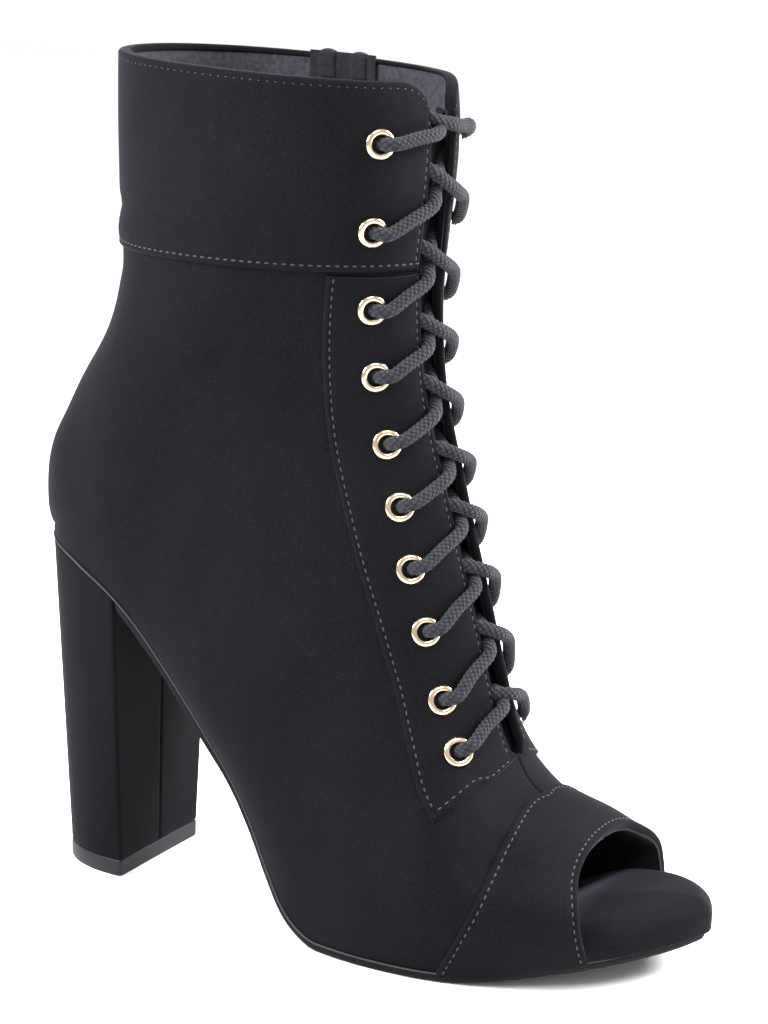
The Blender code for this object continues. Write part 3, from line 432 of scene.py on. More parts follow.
# Suede nap: broad brushed patches over short fibres. It gives a mask and a height.
def makeNapGroup():
    tree, source, out = newGroup("brushed nap", (
        ("Vector", "NodeSocketVector", None), ("Patch Scale", "NodeSocketFloat", 45.0),
        ("Fibre Scale", "NodeSocketFloat", 2600.0), ("Patch Share", "NodeSocketFloat", 0.6)),
        (("Mask", "NodeSocketFloat"), ("Height", "NodeSocketFloat")))
    patch = addNode(tree, "ShaderNodeTexNoise", inputs={"Detail": 3.0, "Distortion": 0.8})
    stretch = addNode(tree, "ShaderNodeMapping",
                      inputs={"Rotation": (0.3, 0.5, 0.4), "Scale": (1.0, 1.0, 0.45)})
    fibre = addNode(tree, "ShaderNodeTexNoise", inputs={"Detail": 4.0, "Roughness": 0.65})
    mix = addNode(tree, "ShaderNodeMix", data_type="FLOAT")
    linkAll(tree, (source.outputs["Vector"], stretch.inputs["Vector"]),
            (stretch.outputs["Vector"], patch.inputs["Vector"]),
            (source.outputs["Patch Scale"], patch.inputs["Scale"]),
            (source.outputs["Vector"], fibre.inputs["Vector"]),
            (source.outputs["Fibre Scale"], fibre.inputs["Scale"]),
            (source.outputs["Patch Share"], mix.inputs[0]),
            (fibre.outputs["Fac"], mix.inputs[2]),
            (patch.outputs["Fac"], mix.inputs[3]),
            (mix.outputs[0], out.inputs["Mask"]),
            (fibre.outputs["Fac"], out.inputs["Height"]))
    return tree


# Plain weave: two crossing sets of threads. It gives a mask and a height.
def makeWeaveGroup():
    tree, source, out = newGroup("plain weave", (
        ("Vector", "NodeSocketVector", None), ("Scale", "NodeSocketFloat", 900.0)),
        (("Mask", "NodeSocketFloat"), ("Height", "NodeSocketFloat")))
    warp = addNode(tree, "ShaderNodeTexWave", bands_direction="Z")
    weft = addNode(tree, "ShaderNodeTexWave", bands_direction="DIAGONAL")
    noise = addNode(tree, "ShaderNodeTexNoise", inputs={"Scale": 700.0})
    most = addNode(tree, "ShaderNodeMath", operation="MULTIPLY")
    blend = addNode(tree, "ShaderNodeMath", inputs={1: 0.5}, operation="MULTIPLY_ADD")
    linkAll(tree, (source.outputs["Vector"], warp.inputs["Vector"]),
            (source.outputs["Vector"], weft.inputs["Vector"]),
            (source.outputs["Vector"], noise.inputs["Vector"]),
            (source.outputs["Scale"], warp.inputs["Scale"]),
            (source.outputs["Scale"], weft.inputs["Scale"]),
            (warp.outputs["Fac"], most.inputs[0]), (weft.outputs["Fac"], most.inputs[1]),
            (most.outputs[0], blend.inputs[0]), (noise.outputs["Fac"], blend.inputs[2]),
            (blend.outputs[0], out.inputs["Mask"]), (most.outputs[0], out.inputs["Height"]))
    return tree


napGroup = makeNapGroup()
weaveGroup = makeWeaveGroup()


def newMaterial(name, roughness, metallic=0.0, sheen=0.0, sheenRoughness=0.5, specular=0.5, sheenTint=None):
    made = bpy.data.materials.new(name)
    made.use_nodes = True
    shader = made.node_tree.nodes["Principled BSDF"]
    for key, value in (("Roughness", roughness), ("Metallic", metallic), ("Sheen Weight", sheen),
                       ("Sheen Roughness", sheenRoughness), ("Specular IOR Level", specular)):
        shader.inputs[key].default_value = value
    if sheenTint:
        shader.inputs["Sheen Tint"].default_value = (*sheenTint, 1.0)
    return made, shader


# A colour ramp from a dark to a light tone.
def toneRamp(tree, dark, light, spread, place=(0, 0)):
    tones = addNode(tree, "ShaderNodeValToRGB", place)
    for k, tone in enumerate((dark, light)):
        tones.color_ramp.elements[k].position = spread[k]
        tones.color_ramp.elements[k].color = (*tone, 1.0)
    return tones


# Colour between a dark and a light tone by a group's mask, and bump from its height.
def dress(made, shader, group, dark, light, values, spread, bump, reach):
    tree = made.node_tree
    where = addNode(tree, "ShaderNodeTexCoord", (-900, 0))
    pattern = addNode(tree, "ShaderNodeGroup", (-700, 0), node_tree=group)
    for key, value in values.items():
        pattern.inputs[key].default_value = value
    tones = toneRamp(tree, dark, light, spread, (-450, 100))
    relief = addNode(tree, "ShaderNodeBump", (-250, -200), {"Strength": bump, "Distance": reach})
    linkAll(tree, (where.outputs["Object"], pattern.inputs["Vector"]),
            (pattern.outputs["Mask"], tones.inputs["Fac"]),
            (tones.outputs["Color"], shader.inputs["Base Color"]),
            (pattern.outputs["Height"], relief.inputs["Height"]),
            (relief.outputs["Normal"], shader.inputs["Normal"]))
    return made


suede = {"dark": (0.0014, 0.0013, 0.0018), "light": (0.0066, 0.0063, 0.0081), "sheen": 0.055,
         "sheenTint": (0.72, 0.76, 1.0)}


def suedeMaterial(name, lift=1.0, fibre=2400.0):
    made, shader = newMaterial(name, 0.85, sheen=suede["sheen"], sheenRoughness=0.33, specular=0.06,
                               sheenTint=suede["sheenTint"])
    dark = tuple(v * lift for v in suede["dark"])
    light = tuple(v * lift for v in suede["light"])
    values = {"Patch Scale": 42.0, "Fibre Scale": fibre, "Patch Share": 0.22}
    return dress(made, shader, napGroup, dark, light, values, (0.36, 0.66), 0.4, 0.00012)


def plainMaterial(name, dark, light, roughness, metallic=0.0, fibre=1500.0, bump=0.1, specular=0.5,
                  sheen=0.0):
    made, shader = newMaterial(name, roughness, metallic, sheen=sheen, specular=specular)
    values = {"Patch Scale": 60.0, "Fibre Scale": fibre, "Patch Share": 0.4}
    return dress(made, shader, napGroup, dark, light, values, (0.3, 0.7), bump, 0.00008)


def weaveMaterial(name, dark, light, scale):
    made, shader = newMaterial(name, 0.9, sheen=0.05, specular=0.1)
    return dress(made, shader, weaveGroup, dark, light, {"Scale": scale}, (0.2, 0.9), 0.5, 0.0002)


# Braid on a cord's own UV map: u in turns of its plait along it, v once round it.
# Two sets of strands cross at a slant. The colour is lighter where they stand out and darker in the grooves
# between them: a painted highlight and painted shade.
def braidMaterial(name, dark, light):
    made, shader = newMaterial(name, 0.82, sheen=0.08, specular=0.15)
    tree = made.node_tree
    where = addNode(tree, "ShaderNodeUVMap")
    split = addNode(tree, "ShaderNodeSeparateXYZ")
    around = addNode(tree, "ShaderNodeMath", inputs={1: 6.0}, operation="MULTIPLY")
    linkAll(tree, (where.outputs["UV"], split.inputs[0]), (split.outputs["Y"], around.inputs[0]))
    waves = []
    for kind in ("ADD", "SUBTRACT"):
        slant = addNode(tree, "ShaderNodeMath", operation=kind)
        half = addNode(tree, "ShaderNodeMath", inputs={1: np.pi}, operation="MULTIPLY")
        wave = addNode(tree, "ShaderNodeMath", operation="SINE")
        flat = addNode(tree, "ShaderNodeMath", operation="ABSOLUTE")
        linkAll(tree, (split.outputs["X"], slant.inputs[0]), (around.outputs[0], slant.inputs[1]),
                (slant.outputs[0], half.inputs[0]), (half.outputs[0], wave.inputs[0]),
                (wave.outputs[0], flat.inputs[0]))
        waves.append(flat)
    front = addNode(tree, "ShaderNodeMath", operation="MULTIPLY")
    noise = addNode(tree, "ShaderNodeTexNoise", inputs={"Scale": 1.3, "Detail": 5.0})
    tone = addNode(tree, "ShaderNodeMath", inputs={1: 0.7}, operation="MULTIPLY_ADD")
    # Painted light and shade: the strand mask makes raised strands lighter and the grooves darker.
    tones = toneRamp(tree, dark, light, (0.35, 1.05))
    relief = addNode(tree, "ShaderNodeBump", inputs={"Strength": 0.7, "Distance": 0.0004})
    linkAll(tree, (waves[0].outputs[0], front.inputs[0]), (waves[1].outputs[0], front.inputs[1]),
            (where.outputs["UV"], noise.inputs["Vector"]), (front.outputs[0], tone.inputs[0]),
            (noise.outputs["Fac"], tone.inputs[2]), (tone.outputs[0], tones.inputs["Fac"]),
            (tones.outputs["Color"], shader.inputs["Base Color"]),
            (front.outputs[0], relief.inputs["Height"]),
            (relief.outputs["Normal"], shader.inputs["Normal"]))
    return made


finish = {
    "suede": suedeMaterial("black microsuede"),
    "overlay": suedeMaterial("black microsuede overlay", 1.04, 2500.0),
    "heelCover": suedeMaterial("black microsuede heel", 0.85, 2300.0),
    "insole": suedeMaterial("black microsuede insole", 1.0, 2200.0),
    "lining": weaveMaterial("grey lining cloth", (0.009, 0.0093, 0.012), (0.044, 0.045, 0.056), 1100.0),
    # Painted shade: the toe's lining is the same grey cloth as the shaft's, coloured near black because the
    # enclosed toe lies in shade.
    "toeLiningPaintedShade": weaveMaterial("toe lining painted dark as shade", (0.004, 0.004, 0.005), (0.012, 0.012, 0.014), 420.0),
    "tongue": suedeMaterial("black tongue cloth", 0.9, 2600.0),
    "thread": plainMaterial("black thread", (0.006, 0.006, 0.008), (0.015, 0.015, 0.020), 0.7, fibre=3000.0,
                            sheen=0.08),
    "sole": plainMaterial("black sheet sole", (0.0016, 0.0016, 0.002), (0.0045, 0.0045, 0.005), 0.7,
                          bump=0.3, specular=0.1),
    "tip": plainMaterial("black heel tip", (0.0045, 0.005, 0.0075), (0.009, 0.0095, 0.013), 0.5,
                         bump=0.08, specular=0.22),
    # Painted highlight: the feather bead is coloured lighter than the suede to show light caught along the
    # seam.
    "edge": plainMaterial("edge bead with painted highlight", (0.012, 0.012, 0.015), (0.028, 0.028, 0.034), 0.6, specular=0.3),
    "gold": plainMaterial("pale gold", (0.52, 0.40, 0.27), (0.66, 0.53, 0.38), 0.15, 1.0, 300.0, 0.02),
    "lace": braidMaterial("black braid", (0.0015, 0.0015, 0.0022), (0.020, 0.021, 0.028)),
    "tape": weaveMaterial("black zip tape", (0.004, 0.004, 0.005), (0.015, 0.015, 0.018), 900.0),
    "coil": plainMaterial("black zip coil", (0.012, 0.012, 0.013), (0.028, 0.028, 0.03), 0.35, bump=0.05),
    "metal": plainMaterial("dark zip metal", (0.055, 0.055, 0.060), (0.10, 0.10, 0.11), 0.3, 1.0, 400.0,
                           0.03),
}
print("finishes made")


# Quads of a grid of rows and columns, wrapped round if asked.
def gridQuads(rows, columns, wrap=False):
    i = np.arange(rows - 1)[:, None]
    j = np.arange(columns if wrap else columns - 1)[None, :]
    k = (j + 1) % columns
    return np.stack([i * columns + j, i * columns + k, (i + 1) * columns + k, (i + 1) * columns + j],
                    axis=-1).reshape(-1, 4)


# A mesh object from millimetre points and quads, its doubles merged and faces outwards.
def makePiece(name, points, quads, material, uv=None, merge=0.002, sharp=0.7):
    mesh = bpy.data.meshes.new(name)
    points = np.ascontiguousarray(points.reshape(-1, 3) * mm, np.float32)
    quads = np.ascontiguousarray(quads, np.int32)
    mesh.vertices.add(len(points))
    mesh.vertices.foreach_set("co", points.ravel())
    mesh.loops.add(quads.size)
    mesh.loops.foreach_set("vertex_index", quads.ravel())
    mesh.polygons.add(len(quads))
    mesh.polygons.foreach_set("loop_start", np.arange(0, quads.size, quads.shape[1], dtype=np.int32))
    mesh.update(calc_edges=True)
    if uv is not None:
        layer = mesh.uv_layers.new(name="UVMap")
        layer.data.foreach_set("uv", np.ascontiguousarray(uv[quads.ravel()], np.float32).ravel())
    mesh.validate()
    work = bmesh.new()
    work.from_mesh(mesh)
    if merge:
        bmesh.ops.remove_doubles(work, verts=work.verts, dist=merge * mm)
        bmesh.ops.dissolve_degenerate(work, edges=work.edges, dist=merge * 0.5 * mm)
    bmesh.ops.recalc_face_normals(work, faces=work.faces)
    work.to_mesh(mesh)
    work.free()
    mesh.materials.append(material)
    mesh.shade_smooth()
    mesh.set_sharp_from_angle(angle=sharp)
    return addObject(name, mesh)


# A closed piece from rings of equal count, in their order.
def makeRings(name, rings, material, **settings):
    points = np.array(rings)
    return makePiece(name, points, gridQuads(*points.shape[:2], True), material, **settings)


# The quads of one closed tube, repeated for a number of tubes.
def copyQuads(rows, columns, count):
    one = gridQuads(rows, columns, True)
    return (one + np.arange(count)[:, None, None] * rows * columns).reshape(-1, 4)


# Closes a piece's open ends.
def fillEnds(made, turnOut=False):
    work = bmesh.new()
    work.from_mesh(made.data)
    bmesh.ops.holes_fill(work, edges=[e for e in work.edges if e.is_boundary], sides=0)
    if turnOut:
        bmesh.ops.recalc_face_normals(work, faces=work.faces)
    work.to_mesh(made.data)
    work.free()


# Directions round each point of a path, from one across it and one up from it.
def ringRound(turn, across, upward):
    return np.cos(turn)[:, None] * across[:, None] + np.sin(turn)[:, None] * upward[:, None]


# Turns an object's modifiers into its mesh.
def bake(made):
    bpy.context.view_layer.update()
    graph = bpy.context.evaluated_depsgraph_get()
    mesh = bpy.data.meshes.new_from_object(made.evaluated_get(graph))
    made.modifiers.clear()
    old = made.data
    made.data = mesh
    bpy.data.meshes.remove(old)
    mesh.shade_smooth()
    mesh.set_sharp_from_angle(angle=0.7)
    return made


# What a piece rides on, and which solids it stands in for. The name of what it is made of is not used.
def settle(made, slotName, *nodes, body="boot"):
    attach(made, body)
    if nodes:
        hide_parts(*nodes)


# Two layers of one grid, joined round their border into a closed skin.
def closedSheet(name, outer, inner, material):
    rows, columns = outer.shape[:2]
    count = rows * columns
    top = gridQuads(rows, columns)
    border = np.r_[np.arange(columns - 1), np.arange(1, rows) * columns - 1,
                   count - 1 - np.arange(columns - 1), np.arange(rows - 1, 0, -1) * columns]
    after = np.roll(border, -1)
    parts = [top, top[:, ::-1] + count, np.stack([border + count, after + count, after, border], axis=1)]
    points = np.concatenate([outer.reshape(-1, 3), inner.reshape(-1, 3)])
    return makePiece(name, points, np.concatenate(parts), material)


# Values from 0 to 1 with extra lines close to both ends of a stretch of that length.
def edgeSteps(length, spacing, close=(0.12, 0.32, 0.6, 0.95, 1.4, 1.9, 2.4, 3.0)):
    near = np.array(close) / length
    count = max(int(length / spacing), 4)
    inner = np.linspace(near[-1], 1 - near[-1], count)
    return np.concatenate([[0.0], near[:-1], inner, 1 - near[:-1][::-1], [1.0]])


# Distance of each point of a grid from its four borders: first and last row and column.
def borderGaps(points):
    down = np.linalg.norm(np.diff(points, axis=0), axis=2)
    down = np.concatenate([np.zeros((1, points.shape[1])), np.cumsum(down, axis=0)])
    across = np.linalg.norm(np.diff(points, axis=1), axis=2)
    across = np.concatenate([np.zeros((points.shape[0], 1)), np.cumsum(across, axis=1)], axis=1)
    return down, down[-1:] - down, across, across[:, -1:] - across


# Height from 0 at a grid's border to 1 at a radius inside it, as a quarter circle.
def edgeRound(points, radius):
    return quarterRound(np.minimum.reduce(borderGaps(points)) / radius)


overlay = {"inner": -0.35, "low": -0.1, "high": 1.05, "round": 1.0, "stitchIn": 1.9, "stitchLift": 0.85,
           "groove": 0.3, "puff": 0.1, "puffIn": 1.4}


# An overlay's outer height: a quarter-round edge, a stitched groove and a slight puff.
def overlayLift(points, edges, stitched):
    gaps = borderGaps(points)
    nearest = np.full(points.shape[:2], 1e3)
    for k in edges:
        nearest = np.minimum(nearest, gaps[k])
    t = np.clip(nearest / overlay["round"], 0.0, 1.0)
    lift = overlay["low"] + (overlay["high"] - overlay["low"]) * quarterRound(t)
    for k in stitched:
        lift -= overlay["groove"] * np.exp(-((gaps[k] - overlay["stitchIn"]) / 0.5) ** 2) * t
        lift += overlay["puff"] * np.exp(-((gaps[k] - overlay["puffIn"]) / 0.6) ** 2) * t
    return lift


stitchPaths = []


# Notes a row of stitches that keeps to one distance inside one border of a grid, as a path
# of points with its normals.
def borderStitches(points, normals, border, inset=overlay["stitchIn"], trim=(0.0, 0.0)):
    gaps = borderGaps(points)[border]
    if border < 2:
        gaps = gaps.T
        points = points.transpose(1, 0, 2)
        normals = normals.transpose(1, 0, 2)
    if border in (1, 3):
        gaps = gaps[:, ::-1]
        points = points[:, ::-1]
        normals = normals[:, ::-1]
    path, facing = (np.vstack([readPath([inset], gap, row) for gap, row in zip(gaps, grid)])
                    for grid in (points, normals))
    run = pathRun(path)
    keep = (run >= trim[0]) & (run <= run[-1] - trim[1])
    facing = facing[keep]
    path = path[keep] + facing * (creaseLift(path[keep]) + overlay["stitchLift"])[:, None]
    stitchPaths.append((path, facing))


# The seams down the front of the vamp and down the heel's flat front, as grooves.
seam = {"deep": 0.6, "wide": 0.5}


# The zip's place as a share of the medial half turn, the slot's half width and the
# station where it starts, then the tape's half width, the tooth pitch and its top's rise.
zipper = {"share": 0.5, "slot": 2.6, "foot": 12.6, "tape": 11.0, "pitch": 1.45, "rise": 3.0}


# One field of the upper: the whole lateral side, or the medial side before or behind the zip.
def upperField(rows, columns, side, part, lift, inset=0.0):
    u = rows[:, None]
    full = lengthOf(rows, side, "spread")[:, None]
    ease = np.clip((u - last["throatFoot"]) / 0.5, 0, 1)
    low = np.where(u < last["throatFoot"], 0.0, halfGap(u) + inset * ease) / full
    slot = zipper["slot"] * np.sqrt(np.clip((u - zipper["foot"]) / 0.25, 0.0, 1.0)) / full
    middle = zipper["share"]
    start, end = {"whole": (low, 1.0 + 0 * low), "front": (low, middle - slot),
                  "behind": (middle + slot, 1.0 + 0 * low)}[part]
    share = start + (end - start) * columns[None, :]
    d = np.minimum(share * full, lengthOf(rows, side)[:, None])
    points, normals = surface(np.broadcast_to(u, d.shape), d, side)
    cut = seam["deep"] * np.exp(-(d / seam["wide"]) ** 2) * (u < last["throatFoot"])
    return lifted(points, normals, lift - cut)


skin = {"thickness": 1.2, "spacing": 0.13}
lining = {"lift": -1.25, "thickness": 0.72, "spacing": 0.2, "inset": 1.6, "toeEnd": 6.5, "top": 20.96}


# A skin of the last's form between two stations, thickened inwards.
def makeUpper(name, lift, thickness, material, spacing, inset=0.0, lowest=0.0, highest=topStation):
    rows = np.unique(np.concatenate([
        np.arange(lowest, highest, spacing), [highest - 0.05, highest], lowest + np.array([0.04, 0.1]),
        last["throatFoot"] + np.array([0.0, 0.005, 0.02, 0.05, 0.1, 0.17]),
        zipper["foot"] + np.array([0.0, 0.004, 0.02, 0.06, 0.12, 0.2]),
        zipper["foot"] - 0.1 + np.linspace(0, 0.5, 9)]))
    rows = rows[(rows >= lowest) & (rows <= highest)]
    fields = []
    quads = []
    base = 0
    for side, part, count in ((-1, "whole", 64), (1, "front", 32), (1, "behind", 32)):
        even = np.linspace(0.018, 1.0, int(count * skin["spacing"] / spacing))
        columns = np.r_[0.0, 0.002, 0.0045, 0.008, 0.0125, even]
        field = upperField(rows, columns, side, part, lift, inset)
        grid = gridQuads(*field.shape[:2])
        quads.append((grid if side > 0 else grid[:, ::-1]) + base)
        fields.append(field.reshape(-1, 3))
        base += field.shape[0] * field.shape[1]
    made = makePiece(name, np.concatenate(fields), np.concatenate(quads), material)
    centre = Vector((60 * mm, 0.0, 130 * mm))
    total = sum(face.area * face.normal.dot(face.center - centre) for face in made.data.polygons)
    if total < 0:
        made.data.flip_normals()
    wall = made.modifiers.new("wall", "SOLIDIFY")
    wall.thickness = thickness * mm
    wall.offset = -1.0
    edge = made.modifiers.new("soft edge", "BEVEL")
    edge.width = 0.35 * thickness * mm
    edge.segments = 2
    edge.limit_method = "ANGLE"
    edge.angle_limit = 1.1
    return bake(made)


settle(makeUpper("upperSkin", 0.0, skin["thickness"], finish["suede"], skin["spacing"]), "suede", "upper")
# Ahead of toeEnd the lining takes the near-black toe finish, which is painted shade for the enclosed toe.
for name, low, high in (("toeLiningPaintedShade", 0.0, lining["toeEnd"]), ("lining", lining["toeEnd"], lining["top"])):
    settle(makeUpper(name, lining["lift"], lining["thickness"], finish[name], lining["spacing"],
                     lining["inset"], low, high), "textile")
print("upper and lining made")


# A sheet over the last, given stations and signed shares or turns on a grid.
def layOverlay(name, u, turn, edges, stitched, node):
    points, normals = surfaceShare(u, turn)
    outer = lifted(points, normals, overlayLift(points, edges, stitched))
    inner = lifted(points, normals, overlay["inner"])
    settle(closedSheet(name, outer, inner, finish["overlay"]), "suede", node)
    return points, normals


# Station at which a level cuts each turn of the shaft.
def levelStation(turn, level):
    tries = np.linspace(backStation + 1.0, topStation, 120)
    grid = surfaceShare(tries[:, None], turn[None, :])[0]
    return np.array([np.interp(level, grid[:, j, 2], tries) for j in range(len(turn))])


cuff = {"height": 54.5}


# A half of the cuff between two turns round the collar, with rows of stitches all round.
def makeCuff(name, start, end, node, stitchFront, stitchZip):
    width = (end - start) * float(lengthOf(topStation, -1))
    turn = start + (end - start) * edgeSteps(width, 2.4)
    low = levelStation(turn, last["height"] - cuff["height"])
    steps = edgeSteps(cuff["height"], 2.2)[:, None]
    u = low[None, :] + (topStation - low[None, :]) * steps
    points, normals = layOverlay(name, u, np.broadcast_to(turn, u.shape), (0, 1, 2, 3),
                                 (0, stitchFront, stitchZip), node)
    borderStitches(points, normals, 0)
    for border in (stitchFront, stitchZip, 1):
        borderStitches(points, normals, border, trim=(2.0, 2.0))


frontShare = float(halfGap(topStation) / lengthOf(topStation, -1))
slotShare = float(zipper["slot"] / lengthOf(topStation, 1))
makeCuff("cuffLateral", 0.5 + slotShare, 2.0 - frontShare, "cuff_lateral", 3, 2)
makeCuff("cuffMedial", frontShare, 0.5 - slotShare, "cuff_medial", 2, 3)

# The cap's rear seam: share of the half girth from the top, and station.
toeCap = {"seam": np.array(((0.0, 2.40), (0.12, 2.55), (0.37, 2.42), (0.66, 2.45), (0.85, 2.78),
                            (1.0, 3.08)))}


# The cap over the toe, from the open end back to its seam.
def makeToeCap():
    share = -1 + 2 * edgeSteps(165.0, 1.8)
    share = np.sign(share) * np.minimum(np.abs(share), 0.995)
    grid = np.linspace(0.0, len(toeCap["seam"]) - 1.0, 120)
    smooth = smoothRows(toeCap["seam"], grid)
    rear = np.interp(np.abs(share), smooth[:, 0], smooth[:, 1])
    u = rear[None, :] * edgeSteps(34.0, 1.6)[:, None]
    points, normals = layOverlay("toeCap", u, np.broadcast_to(share, u.shape), (0, 1), (0, 1), "toe_cap")
    borderStitches(points, normals, 0, inset=2.0)
    borderStitches(points, normals, 1)


makeToeCap()

# The facing's foot seam: share of its width, and station.
eyestay = {"foot": np.array(((0.0, 4.04), (0.15, 3.90), (0.38, 3.98), (0.5, 4.30), (0.75, 4.55),
                             (1.0, 4.80))),
           "width": 35.0, "footWidth": 39.0, "topGap": 0.06}


# The facing along one side of the throat, from its foot seam up under the cuff.
def makeEyestay(name, side, node):
    t = edgeSteps(eyestay["width"], 1.7)
    smooth = smoothRows(eyestay["foot"], np.linspace(0.0, len(eyestay["foot"]) - 1.0, 120))
    low = np.interp(t, smooth[:, 0], smooth[:, 1])
    share = t * eyestay["width"] / float(lengthOf(backStation + 3, side))
    high = levelStation(side * share, last["height"] - cuff["height"]) - eyestay["topGap"]
    steps = edgeSteps(150.0, 1.7)[:, None]
    u = low[None, :] + (high - low)[None, :] * steps
    climb = np.clip((u - low[None, :]) / 3.0, 0.0, 1.0)
    width = eyestay["footWidth"] + (eyestay["width"] - eyestay["footWidth"]) * climb
    edge = halfGap(u)
    d = edge + t[None, :] * (width - edge)
    points, normals = layOverlay(name, u, side * d / lengthOf(u, side, "girth"), (0, 2, 3), (0, 2, 3), node)
    borderStitches(points, normals, 0, trim=(3.0, 2.0))
    borderStitches(points, normals, 2, trim=(4.0, 0.0))
    borderStitches(points, normals, 3, trim=(2.0, 0.0))


makeEyestay("eyestayLateral", -1, "eyestay_lateral")
makeEyestay("eyestayMedial", 1, "eyestay_medial")

binding = {"tall": 0.11, "outer": -1.3, "inner": -1.7, "bulge": 0.75, "round": 0.7}


# Binding inside the topline, in the two stretches that the zip leaves.
def makeBinding(name, start, end):
    width = (end - start) * float(lengthOf(topStation, -1))
    turn = start + (end - start) * edgeSteps(width, 2.4)
    steps = edgeSteps(3.6, 0.6, (0.1, 0.25, 0.5, 0.8))[:, None]
    u = topStation - binding["tall"] * (1 - steps)
    points, normals = surfaceShare(*np.broadcast_arrays(u, turn))
    inner = binding["inner"] - binding["bulge"] * edgeRound(points, binding["round"])
    made = closedSheet(name, lifted(points, normals, binding["outer"]), lifted(points, normals, inner),
                       finish["tongue"])
    settle(made, "textile")


makeBinding("bindingLateral", 0.5 + slotShare, 2.0 - frontShare)
makeBinding("bindingMedial", frontShare, 0.5 - slotShare)
print("overlays made")

tongue = {"lift": -2.95, "thickness": 1.6, "half": 25.0, "foot": 3.4, "top": 20.1, "press": 1.3,
          "pressWide": 11.0, "pressFoot": 4.5, "round": 0.9}
tongueFold = {"station": 14.35, "long": 0.32, "aside": -2.5, "wide": 3.5, "rise": 2.6}


# The tongue lies behind the facings, pressed in where the lace crosses it, with one
# soft fold that stands out between two crossings.
def makeTongue():
    across = -1 + 2 * edgeSteps(2 * tongue["half"], 1.6)
    u = (tongue["foot"] + (tongue["top"] - tongue["foot"]) * edgeSteps(200.0, 1.8))[:, None]
    d = across * tongue["half"]
    grid = np.broadcast_to(u, (len(u), len(d)))
    signed = d / np.where(d < 0, lengthOf(grid, -1), lengthOf(grid, 1))
    points, normals = surfaceShare(grid, signed)
    fold = tongueFold["rise"] * np.exp(-((grid - tongueFold["station"]) / tongueFold["long"]) ** 2
                                       - ((d - tongueFold["aside"]) / tongueFold["wide"]) ** 2)
    press = tongue["press"] * np.exp(-(d / tongue["pressWide"]) ** 4)
    press = press * np.clip(grid - tongue["pressFoot"], 0.0, 1.0)
    half = tongue["thickness"] / 2
    middle = tongue["lift"] - half - press + fold
    bulge = half * edgeRound(points, tongue["round"])
    made = closedSheet("tongueSheet", lifted(points, normals, middle + bulge),
                       lifted(points, normals, middle - bulge), finish["tongue"])
    settle(made, "textile", "tongue")


makeTongue()


# Directions into a closed outline, one at each of its points.
def inwardNormals(outline):
    x, y = outline.T
    normals = curveNormals(np.r_[x[-1], x, x[0]], np.r_[y[-1], y, y[0]])[1:-1]
    area = np.sum(x * np.roll(y, -1) - np.roll(x, -1) * y)
    return normals if area > 0 else -normals


# A flat ring's points at a lift above the sole's underside.
def aboveSole(ring, lift):
    return np.column_stack([ring, levelAt(ring[:, 0], lift)])


# Points on the sole's middle line that an outline's points close to, clear of its ends.
def middleLine(x):
    spineX = np.clip(x, x.min() + 9.0, x.max() - 11.0)
    spineY = np.interp(spineX, soleLine[:, 0], (soleLine[:, 2] - soleLine[:, 1]) / 2)
    return np.column_stack([spineX, spineY])


# A closed outline read again at evenly spaced points, and softened a number of times.
def evenLoop(loop, count, rounds):
    closed = np.vstack([loop, loop[:1]])
    run = pathRun(closed)
    even = readPath(np.linspace(0.0, run[-1], count, endpoint=False), run, closed)
    for _ in range(rounds):
        even = (np.roll(even, 1, axis=0) + 2 * even + np.roll(even, -1, axis=0)) / 4
    return even


# A flat piece with the sole's own outline. Its profile is a list of insets from the
# edge and lifts above the underside, and rings then close over it to a middle line.
def outlinePiece(name, outline, profile, material, slotName, *nodes):
    inward = inwardNormals(outline)
    spine = middleLine(outline[:, 0])
    rings = [aboveSole(outline + inward * inset, lift) for inset, lift in profile]

    def closing(ring, lift):
        flat = ring[:, :2]
        return [aboveSole(flat + (spine - flat) * share, lift) for share in (0.3, 0.65, 1.0)]

    rings = closing(rings[0], profile[0][1])[::-1] + rings + closing(rings[-1], profile[-1][1])
    settle(makeRings(name, rings, material, merge=0.01), slotName, *nodes)


# The sole's outline from x = start round the toe, moved in by inset, evenly spaced.
def soleOutline(start, inset, count, square):
    line = soleLine[soleLine[:, 0] >= start - 1e-6]
    lateral = np.column_stack([line[:, 0], -line[:, 1]])
    medial = np.column_stack([line[:, 0], line[:, 2]])
    if square:
        lateral = np.vstack([(start, -edgeAt(start, -1)), lateral])
        medial = np.vstack([(start, edgeAt(start, 1)), medial])
    loop = np.vstack([lateral, medial[::-1]])
    if square:
        across = np.linspace(medial[0, 1], lateral[0, 1], 12)
        loop = np.vstack([loop, np.column_stack([np.full(12, start), across])])
    keep = np.r_[True, np.linalg.norm(np.diff(loop, axis=0), axis=1) > 1e-4]
    even = evenLoop(loop[keep], count, 2)
    return even + inwardNormals(even) * inset


# Insets and lifts of a rounded edge between two lifts, for outlinePiece.
def roundedProfile(low, high, radiusLow, radiusHigh, steps=5):
    turn = np.linspace(0.0, np.pi / 2, steps)
    foot = [(radiusLow * (1 - np.sin(a)), low + radiusLow * (1 - np.cos(a))) for a in turn]
    head = [(radiusHigh * (1 - np.cos(a)), high - radiusHigh * (1 - np.sin(a))) for a in turn]
    return foot + head


sole = {"inset": 0.35, "thickness": 2.6, "lowEdge": 1.7, "highEdge": 0.3}
outlinePiece("soleSheet", soleOutline(last["breast"] + sole["inset"], sole["inset"], 420, True),
             roundedProfile(0.0, sole["thickness"], sole["lowEdge"], sole["highEdge"]),
             finish["sole"], "sole", "outsole")

soleBack = float(soleLine[:, 0].min())
insole = {"base": 2.65, "inset": 2.6, "thin": 3.0, "rise": 7.2, "crown": 1.2, "foot": 0.7, "edge": 0.9,
          "wrap": 5.6, "longer": 3.9, "front": (130.0, 160.0), "tip": (142.0, 176.0)}


